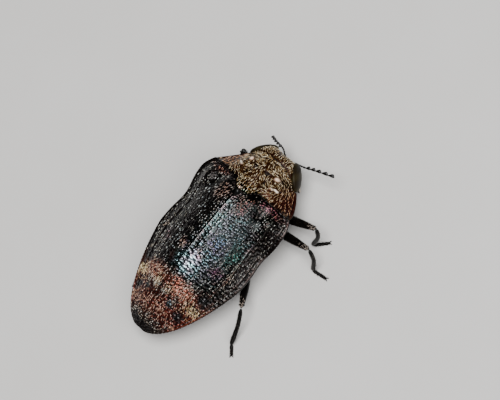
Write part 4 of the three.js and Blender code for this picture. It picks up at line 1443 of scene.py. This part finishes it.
def hair_shape(rng, roots, normals, lie, length, half, lift):
    """Curved, pointed hairs as one mesh."""
    count = len(roots)
    lie = unit(lie - normals * np.sum(lie * normals, axis=1, keepdims=True))
    aside = np.cross(normals, lie)
    length = length * (0.7 + 0.6 * rng.random(count))
    half = half * (0.75 + 0.5 * rng.random(count))
    lift = lift * (0.6 + 0.8 * rng.random(count))
    bend = 0.35 * (rng.random(count) - 0.5)
    rings = []
    for k in range(HAIR_RINGS):
        t = k / HAIR_RINGS
        ahead = length * t
        up = length * lift * (t - 0.55 * t * t) + HAIR_RISE
        sideways = length * bend * t * t
        centre = roots + lie * ahead[:, None] + normals * up[:, None] + aside * sideways[:, None]
        wide = half * (1 - t**2.2) * (0.7 + 0.6 * min(t * 3, 1))
        for s in range(HAIR_SIDES):
            angle = 2 * math.pi * s / HAIR_SIDES + math.pi / 2
            out = aside * math.cos(angle) + normals * (0.7 * math.sin(angle))
            rings.append(centre + out * wide[:, None])
    tip = roots + lie * length[:, None] + normals * (length * lift * 0.45 + HAIR_RISE)[:, None]
    tip = tip + aside * (length * bend)[:, None]
    points = np.stack([*rings, tip], axis=1)
    per_hair = points.shape[1]
    quads, tris = [], [(2, 1, 0)]
    for k in range(HAIR_RINGS):
        for s in range(HAIR_SIDES):
            a, b = k * HAIR_SIDES + s, k * HAIR_SIDES + (s + 1) % HAIR_SIDES
            if k + 1 < HAIR_RINGS:
                quads.append((a, b, b + HAIR_SIDES, a + HAIR_SIDES))
            else:
                tris.append((a, b, per_hair - 1))
    starts = np.arange(count)[:, None, None] * per_hair
    all_quads = (np.array(quads)[None] + starts).reshape(-1, 4)
    all_tris = (np.array(tris)[None] + starts).reshape(-1, 3)
    return points.reshape(-1, 3), all_quads, all_tris


def grow(rng, surface, roots, outer, lie, size, chance=None, clear=None, tile=(0, 1, 0, 1)):
    """Hairs on a surface, with each one's place on the unwrap.

    `chance` thins the roots out and `clear` keeps some of the points. `lie` gives the way each hair
    points, `size` its length, half width and lift, and `tile` the part of the unwrap that it takes:
    column, columns, row and rows.
    """
    u, v = roots
    if chance is not None:
        keep = rng.random(len(u)) < chance(u, v)
        u, v = u[keep], v[keep]
    frames = surface_frames(surface, u, v, outer)
    if clear is not None:
        keep = clear(frames[0])
        u, v, *frames = (values[keep] for values in (u, v, *frames))
    points, normals, across, along = frames
    hairs = hair_shape(rng, points, normals, lie(points, across, along), *size)
    column, columns, row, rows = tile
    return hairs, np.stack([(u + column) / columns, (v + row) / rows], axis=1)


def add_coat(name, grown, material):
    """A coat piece with its unwrap, where each hair is a small patch at its root's place."""
    parts, places = zip(*grown)
    mesh = make_piece(name, join(parts), material).data
    per_hair = HAIR_RINGS * HAIR_SIDES + 1
    corners = np.empty(len(mesh.loops), int)
    mesh.loops.foreach_get("vertex_index", corners)
    hair, within = corners // per_hair, corners % per_hair
    offset = np.stack([(within % HAIR_SIDES) / (HAIR_SIDES - 1), within // HAIR_SIDES / HAIR_RINGS], axis=1)
    uv = np.vstack(places)[hair] * (1 - PATCH_UV) + offset * PATCH_UV
    mesh.uv_layers.new(name="OFBake").data.foreach_set("uv", uv.ravel())


def turned(angle):
    """A flat way on the back; 0 points to the tail, positive angles to the beetle's right."""
    return np.stack([np.sin(angle), -np.cos(angle), np.zeros_like(angle)], axis=1)


def build_case_hairs(sizes):
    """Dense hairs on the pale bands, short ones in lengthwise rows on the rest, and cream tufts."""

    def dense(x, y, cover):
        return cover

    def in_rows(x, y, cover):
        past_keel = smooth((np.abs(x) - keel_at(y) * case_half(y)) / 0.1)
        return (cover > BARE) * (0.5 - cover) * mix(1.0, 0.5, past_keel)

    def in_tufts(x, y, cover):
        return 0.45 * tuft_cover(x, y)

    # Columns and rows of roots, their spread, how many stay, length, thickness and swirl.
    kinds = (
        (34, 68, 1.0, dense, sizes.case_hair_length, 1.0, 0.9),
        (15, 66, 0.35, in_rows, sizes.row_hair_length, 1.8, 0.15),
        (26, 60, 1.0, in_tufts, sizes.case_hair_length * TUFT_LENGTH, 1.1, 0.6),
    )
    for name, side in SIDES.items():
        rng = np.random.default_rng(100 + side)
        surface = lambda u, v: case_place(u, v, side)
        grown = []
        for columns, rows, spread, share_of, length, stout, swirl in kinds:

            def chance(u, v):
                x, y, _ = surface(u, v).T
                share = share_of(x, y, hair_cover(x, y, sizes.disc_hair))
                return share * (1 + 0.7 * ripple(x, y, 0.28, 37))

            def lie(points, across, along):
                lean = swirl * ripple(points[:, 0], points[:, 1], 0.45, 31)
                return turned(lean + 0.25 * (rng.random(len(points)) - 0.5))

            roots = scatter_roots(rng, columns, rows, (0.03, 0.97), (0.01, 0.975), spread)
            size = (length, sizes.hair_half * stout, 0.16)
            grown.append(grow(rng, surface, roots, UP, lie, size, chance))
        add_coat(f"hairs_wing_case_{name}", grown, material_named("case_hair"))


def shield_lie(x, y):
    """Hairs of the pronotum sweep round its side domes."""
    side = np.tanh(x / 0.15)
    away_x, away_y = np.abs(x) - 0.56, y - 2.2
    round_dome = np.stack([side * away_y, -away_x, np.zeros_like(x)], axis=1)
    near = bell(np.hypot(away_x, away_y), 0.5)[:, None]
    return unit(unit(round_dome) * near + turned(side * 0.4) * (1.05 - near))


def build_shield_hairs(sizes):
    """Hairs that sweep round the domes of the pronotum, and a fringe along its front margin."""
    rng = np.random.default_rng(7)

    def chance(u, v):
        x, y, _ = shield_place(u, v).T
        return hair_cover(x, y, 0.88) * (1 + 0.35 * ripple(x, y, 0.16, 41))

    def swept(points, across, along):
        return shield_lie(points[:, 0], points[:, 1]) + 0.3 * (rng.random(points.shape) - 0.5)

    def fringe(points, across, along):
        return across * np.sign(points[:, :1]) + (0, 0.5, 0) + 0.6 * (rng.random(points.shape) - 0.5)

    size = (sizes.shield_hair_length, sizes.hair_half)
    roots = scatter_roots(rng, 46, 16, (0.02, 0.98), (0.06, 0.98))
    grown = [grow(rng, shield_place, roots, UP, swept, (*size, 0.14), chance)]
    roots = scatter_roots(rng, 56, 1, (0.05, 0.95), (0.95, 0.995))
    grown.append(grow(rng, shield_place, roots, UP, fringe, (*size, 0.2)))
    add_coat("hairs_pronotum", grown, material_named("bronze_hair"))


def build_head_hairs(sizes):
    """Hairs of the face, clear of the eyes and of the groove between them."""
    rng = np.random.default_rng(11)

    def face(u, v):
        return head_place(u, np.pi * v)

    def clear(points):
        away = [np.linalg.norm(in_eye(points, side, EYE_RADII)[0], axis=1) for side in SIDES.values()]
        return (np.minimum(*away) > 1.12) & (np.abs(points[:, 0]) > 0.03)

    def lie(points, across, along):
        return along + 0.5 * (rng.random(points.shape) - 0.5)

    roots = scatter_roots(rng, 34, 26, (0.1, 0.9), (0.01, 0.85))
    size = (sizes.head_hair_length, sizes.hair_half * 0.85, 0.35)
    grown = grow(rng, face, roots, (0, 1, 0.3), lie, size, clear=clear)
    add_coat("hairs_head", [grown], material_named("bronze_hair"))


def limb_skin(stops, width, depth, upright=UP):
    """The skin of a limb at (u, v), and the way out of it from its middle line."""
    skin = lambda u, v: limb_point(stops, v, 2 * np.pi * u, width, depth, upright)[0]
    return skin, lambda points, v: points - curve_points(stops, v)[0]


def down_limb(points, across, along):
    """The lie of hairs that point to a limb's end."""
    return along


def build_leg_hairs(sizes):
    """Short dark hairs all round the legs, clear of the ground."""
    rng = np.random.default_rng(23)
    foot_width = lambda t: FOOT_HALF * 0.8 + 0 * t
    foot_depth = lambda t: foot_width(t) * FOOT_FLAT
    grown = []
    for row, leg in enumerate(LEGS):
        # Curve, half width and depth, upper side, rows of roots, how many stay and lift.
        limbs = (
            (femur_stops(leg), femur_half, femur_depth, UP, 18, 0.2, 0.3),
            (tibia_stops(leg), tibia_half, tibia_half, SHIN_UP, 20, 0.7, 0.45),
            (foot_stops(leg), foot_width, foot_depth, UP, 12, 0.8, 0.45),
        )
        for column, (stops, width, depth, upright, rows, density, lift) in enumerate(limbs):
            skin, outer = limb_skin(stops, width, depth, upright)
            roots = scatter_roots(rng, 6, rows, (0, 1), (0.12, 0.95))
            size = (sizes.leg_hair_length, sizes.hair_half * 0.55, lift)
            chance = lambda u, v: density
            clear = lambda points: points[:, 2] > HAIR_CLEARANCE
            tile = (column, len(limbs), row, len(LEGS))
            grown.append(grow(rng, skin, roots, outer, down_limb, size, chance, clear, tile))
    for (points, _, _), _ in grown:
        points[:, 2] = np.maximum(points[:, 2], HAIR_LOWEST)
    add_coat("hairs_legs", grown, material_named("limb_hair"))


def build_knee_hairs(sizes):
    """Pale tufts on the upper side of the knees, apart from the one beside the head: pale hairs that also
    stand for a painted highlight on the knees.
    """
    rng = np.random.default_rng(31)
    grown = []
    for row, leg in enumerate(leg for leg in LEGS if leg != "front_left"):
        skin, outer = limb_skin(femur_stops(leg), femur_half, femur_depth)
        roots = scatter_roots(rng, 5, 6, (0.1, 0.4), (0.74, 0.97))
        size = (sizes.leg_hair_length, sizes.hair_half * 0.7, 0.3)
        chance = lambda u, v: smooth((v - 0.66) / 0.3)
        grown.append(grow(rng, skin, roots, outer, down_limb, size, chance, tile=(0, 1, row, len(LEGS))))
    add_coat("hairs_and_highlight_knees", grown, material_named("knee_hair_and_highlight"))


def build_belly_hairs(sizes):
    """Short hairs on the plates of the underside, which point to the tail."""
    rng = np.random.default_rng(29)
    grown = []
    for row, (name, (rear, front, _)) in enumerate(PLATES.items()):
        rows = max(4, int(((front or 2.5) - rear) / 0.085))
        roots = scatter_roots(rng, 30, rows, (0.04, 0.96), (0.06, 0.94))
        surface = lambda u, v: plate_place(name, u, v)
        lie = lambda points, across, along: turned(0.5 * (rng.random(len(points)) - 0.5))
        size = (sizes.belly_hair_length, sizes.hair_half * 0.7, 0.12)
        grown.append(grow(rng, surface, roots, (0, 0, -1), lie, size, tile=(0, 1, row, len(PLATES))))
    add_coat("hairs_underside", grown, material_named("limb_hair"))


# ---------------------------------------------------------------- stage
TOWARD_CAMERA = (0.4067, 0.0, 0.9135)
IMAGE_RIGHT = (0.6873, 0.6587, -0.306)
IMAGE_UP = (-0.6017, 0.7524, 0.2679)
AIM = (0.034, 1.459, 0.955)  # the point in the middle of the view, mm in the body's frame
CAMERA_DISTANCE = 90.0
VIEW_WIDTH = 13.16  # what the view spans at that point, mm
SENSOR = 36.0
CAMERA_RANGE = (0.001, 5.0)  # nearest and farthest that the camera sees, m
SURROUND = (0.9, 0.95, 1.0, 1.0)
LIGHT_DISTANCE = 110
FLOOR_RADII = (40, 90, 160, 240.0)
FLOOR_SIDES = 96


def add_light(name, toward, size, power):
    """A round soft light; `toward` is the way to it from the beetle, sizes in mm."""
    light = bpy.data.lights.new(name, "AREA")
    light.shape = "DISK"
    light.size = size * MM
    light.energy = power
    lamp = bpy.data.objects.new(name, light)
    way = Vector(toward).normalized()
    lamp.location = Vector((0, 0, MM)) + way * LIGHT_DISTANCE * MM
    lamp.rotation_euler = way.to_track_quat("Z", "Y").to_euler()
    bpy.context.scene.collection.objects.link(lamp)


def build_stage(sizes):
    """The round floor, the pale surround, two softboxes and the camera."""
    scene = bpy.context.scene
    turn = np.linspace(0, 2 * np.pi, FLOOR_SIDES, endpoint=False)
    rings = [np.stack([r * np.cos(turn), r * np.sin(turn), 0 * turn], axis=1) for r in FLOOR_RADII]
    points = np.vstack([*rings, [[0, 0, 0]]])
    index = np.arange(len(rings) * FLOOR_SIDES).reshape(-1, FLOOR_SIDES)
    after = np.roll(index, -1, axis=1)
    quads = np.stack([index[:-1], index[1:], after[1:], after[:-1]], axis=-1).reshape(-1, 4)
    tris = np.column_stack([np.full(FLOOR_SIDES, len(points) - 1), index[0], after[0]])
    mesh = bpy.data.meshes.new("floor")
    mesh.from_pydata((points * MM).tolist(), [], quads.tolist() + tris.tolist())
    mesh.materials.append(material_named("pale_floor"))
    floor = bpy.data.objects.new("floor", mesh)
    scene.collection.objects.link(floor)

    world = bpy.data.worlds.new("studio")
    world.use_nodes = True
    background = world.node_tree.nodes["Background"]
    background.inputs["Color"].default_value = SURROUND
    background.inputs["Strength"].default_value = sizes.surround_light
    scene.world = world
    add_light("overhead_softbox", (0.14, 0.04, 0.99), 62, sizes.key_power)
    add_light("side_softbox", (0.64, 0.04, 0.77), 84, sizes.key_power * 0.45)

    camera_data = bpy.data.cameras.new("camera")
    camera_data.sensor_width = SENSOR
    camera_data.lens = SENSOR * CAMERA_DISTANCE / VIEW_WIDTH
    camera_data.clip_start, camera_data.clip_end = CAMERA_RANGE
    camera = bpy.data.objects.new("camera", camera_data)
    axes = Matrix((IMAGE_RIGHT, IMAGE_UP, TOWARD_CAMERA)).transposed().to_4x4()
    place = (Vector(AIM) + Vector(ORIGIN) + Vector(TOWARD_CAMERA) * CAMERA_DISTANCE) * MM
    camera.matrix_world = Matrix.Translation(place) @ axes
    scene.collection.objects.link(camera)
    scene.camera = camera


# ---------------------------------------------------------------- add-on
def millimetres(name, description, default):
    return FloatProperty(name=name, description=description, default=default, min=0.0, max=1.0, precision=4)


def share(name, description, default, high=1.0):
    return FloatProperty(name=name, description=description, default=default, min=0.0, max=high)


def count(name, description, default):
    return IntProperty(name=name, description=description, default=default, min=8, max=1000)


def colour(name, description, code):
    settings = {"subtype": "COLOR", "size": 4, "min": 0.0, "max": 1.0}
    return FloatVectorProperty(name=name, description=description, default=rgb(code), **settings)


class BeetleSizes(bpy.types.PropertyGroup):
    """Sizes, in mm, and colours of the beetle."""

    case_columns: count("Case columns", "Points across a wing case", 160)
    case_rows: count("Case rows", "Points along a wing case", 500)
    pit_width: millimetres("Pit width", "Half width of a pit, mm", 0.034)
    pit_depth: millimetres("Pit depth", "Depth of a pit, mm", 0.014)
    grain_height: millimetres("Grain height", "Height of the grains of the skin, mm", 0.013)
    hair_half: millimetres("Hair half width", "Half width of a hair, mm", 0.0066)
    case_hair_length: millimetres("Case hairs", "Length of hairs on the wing cases, mm", 0.085)
    row_hair_length: millimetres("Row hairs", "Length of the hairs in rows on the wing cases, mm", 0.042)
    shield_hair_length: millimetres("Pronotum hairs", "Length of hairs on the pronotum, mm", 0.09)
    head_hair_length: millimetres("Head hairs", "Length of hairs on the head, mm", 0.06)
    leg_hair_length: millimetres("Leg hairs", "Length of hairs on the legs, mm", 0.05)
    belly_hair_length: millimetres("Underside hairs", "Length of hairs below, mm", 0.07)
    disc_hair: share("Disc hairs", "How densely hairs grow on the bare disc", 0.1)
    shell_roughness: share("Shell roughness", "Roughness of the metallic shell", 0.24)
    disc_colour: colour("Disc colour", "Ground colour of the wing cases", "3c322b")
    bronze_colour: colour("Bronze colour", "Ground colour of pronotum and head", "463018")
    key_power: share("Softbox power", "Power of the overhead softbox, W", 0.165, 10.0)
    surround_light: share("Surround light", "Strength of the light from all round", 0.12, 10.0)


class BeetleStep(bpy.types.Operator):
    """One stage of making the beetle."""

    bl_idname = "beetle.step"
    bl_label = "Beetle step"
    bl_options = {"REGISTER", "UNDO"}

    def execute(self, context):
        self.build(context.scene.beetle)
        return {"FINISHED"}


class BEETLE_OT_wing_cases(BeetleStep):
    """Make both wing cases with their pits, keels and toothed margins."""

    bl_idname = "beetle.wing_cases"
    bl_label = "Wing cases"

    def build(self, sizes):
        build_wing_cases(sizes)
        build_scutellum()


class BEETLE_OT_pronotum(BeetleStep):
    """Make the pronotum."""

    bl_idname = "beetle.pronotum"
    bl_label = "Pronotum"

    def build(self, sizes):
        build_pronotum(sizes)


class BEETLE_OT_head(BeetleStep):
    """Make the head, the eyes and the mouth parts."""

    bl_idname = "beetle.head"
    bl_label = "Head"

    def build(self, sizes):
        build_head(sizes)
        build_eyes()
        build_mouth()


class BEETLE_OT_feelers(BeetleStep):
    """Make both feelers of eleven segments."""

    bl_idname = "beetle.feelers"
    bl_label = "Feelers"

    def build(self, sizes):
        build_feelers()


class BEETLE_OT_legs(BeetleStep):
    """Make the six legs."""

    bl_idname = "beetle.legs"
    bl_label = "Legs"

    def build(self, sizes):
        build_legs()


class BEETLE_OT_underside(BeetleStep):
    """Make the plates of the underside."""

    bl_idname = "beetle.underside"
    bl_label = "Underside"

    def build(self, sizes):
        build_underside()


class BEETLE_OT_coat(BeetleStep):
    """Grow the hairs of back, head, legs and underside."""

    bl_idname = "beetle.coat"
    bl_label = "Hairs"

    def build(self, sizes):
        build_case_hairs(sizes)
        build_shield_hairs(sizes)
        build_head_hairs(sizes)
        build_leg_hairs(sizes)
        build_knee_hairs(sizes)
        build_belly_hairs(sizes)


class BEETLE_OT_stage(BeetleStep):
    """Set the floor, the lights and the camera."""

    bl_idname = "beetle.stage"
    bl_label = "Stage"

    def build(self, sizes):
        build_stage(sizes)


OPERATORS = (
    BEETLE_OT_wing_cases,
    BEETLE_OT_pronotum,
    BEETLE_OT_head,
    BEETLE_OT_feelers,
    BEETLE_OT_legs,
    BEETLE_OT_underside,
    BEETLE_OT_coat,
    BEETLE_OT_stage,
)


class BEETLE_PT_panel(bpy.types.Panel):
    """Lists the beetle's sizes and the steps that make it."""

    bl_idname = "BEETLE_PT_panel"
    bl_label = "Jewel beetle"
    bl_space_type = "VIEW_3D"
    bl_region_type = "UI"
    bl_category = "Beetle"

    def draw(self, context):
        for name in BeetleSizes.__annotations__:
            self.layout.prop(context.scene.beetle, name)
        for operator in OPERATORS:
            self.layout.operator(operator.bl_idname)


CLASSES = (BeetleSizes, *OPERATORS, BEETLE_PT_panel)


def register():
    for cls in CLASSES:
        bpy.utils.register_class(cls)
    bpy.types.Scene.beetle = PointerProperty(type=BeetleSizes)


def unregister():
    del bpy.types.Scene.beetle
    for cls in reversed(CLASSES):
        bpy.utils.unregister_class(cls)


def main():
    register()
    markings_group()
    grain_group()
    for operator in OPERATORS:
        getattr(bpy.ops.beetle, operator.bl_idname.split(".")[1])()


if __name__ == "__main__":
    main()
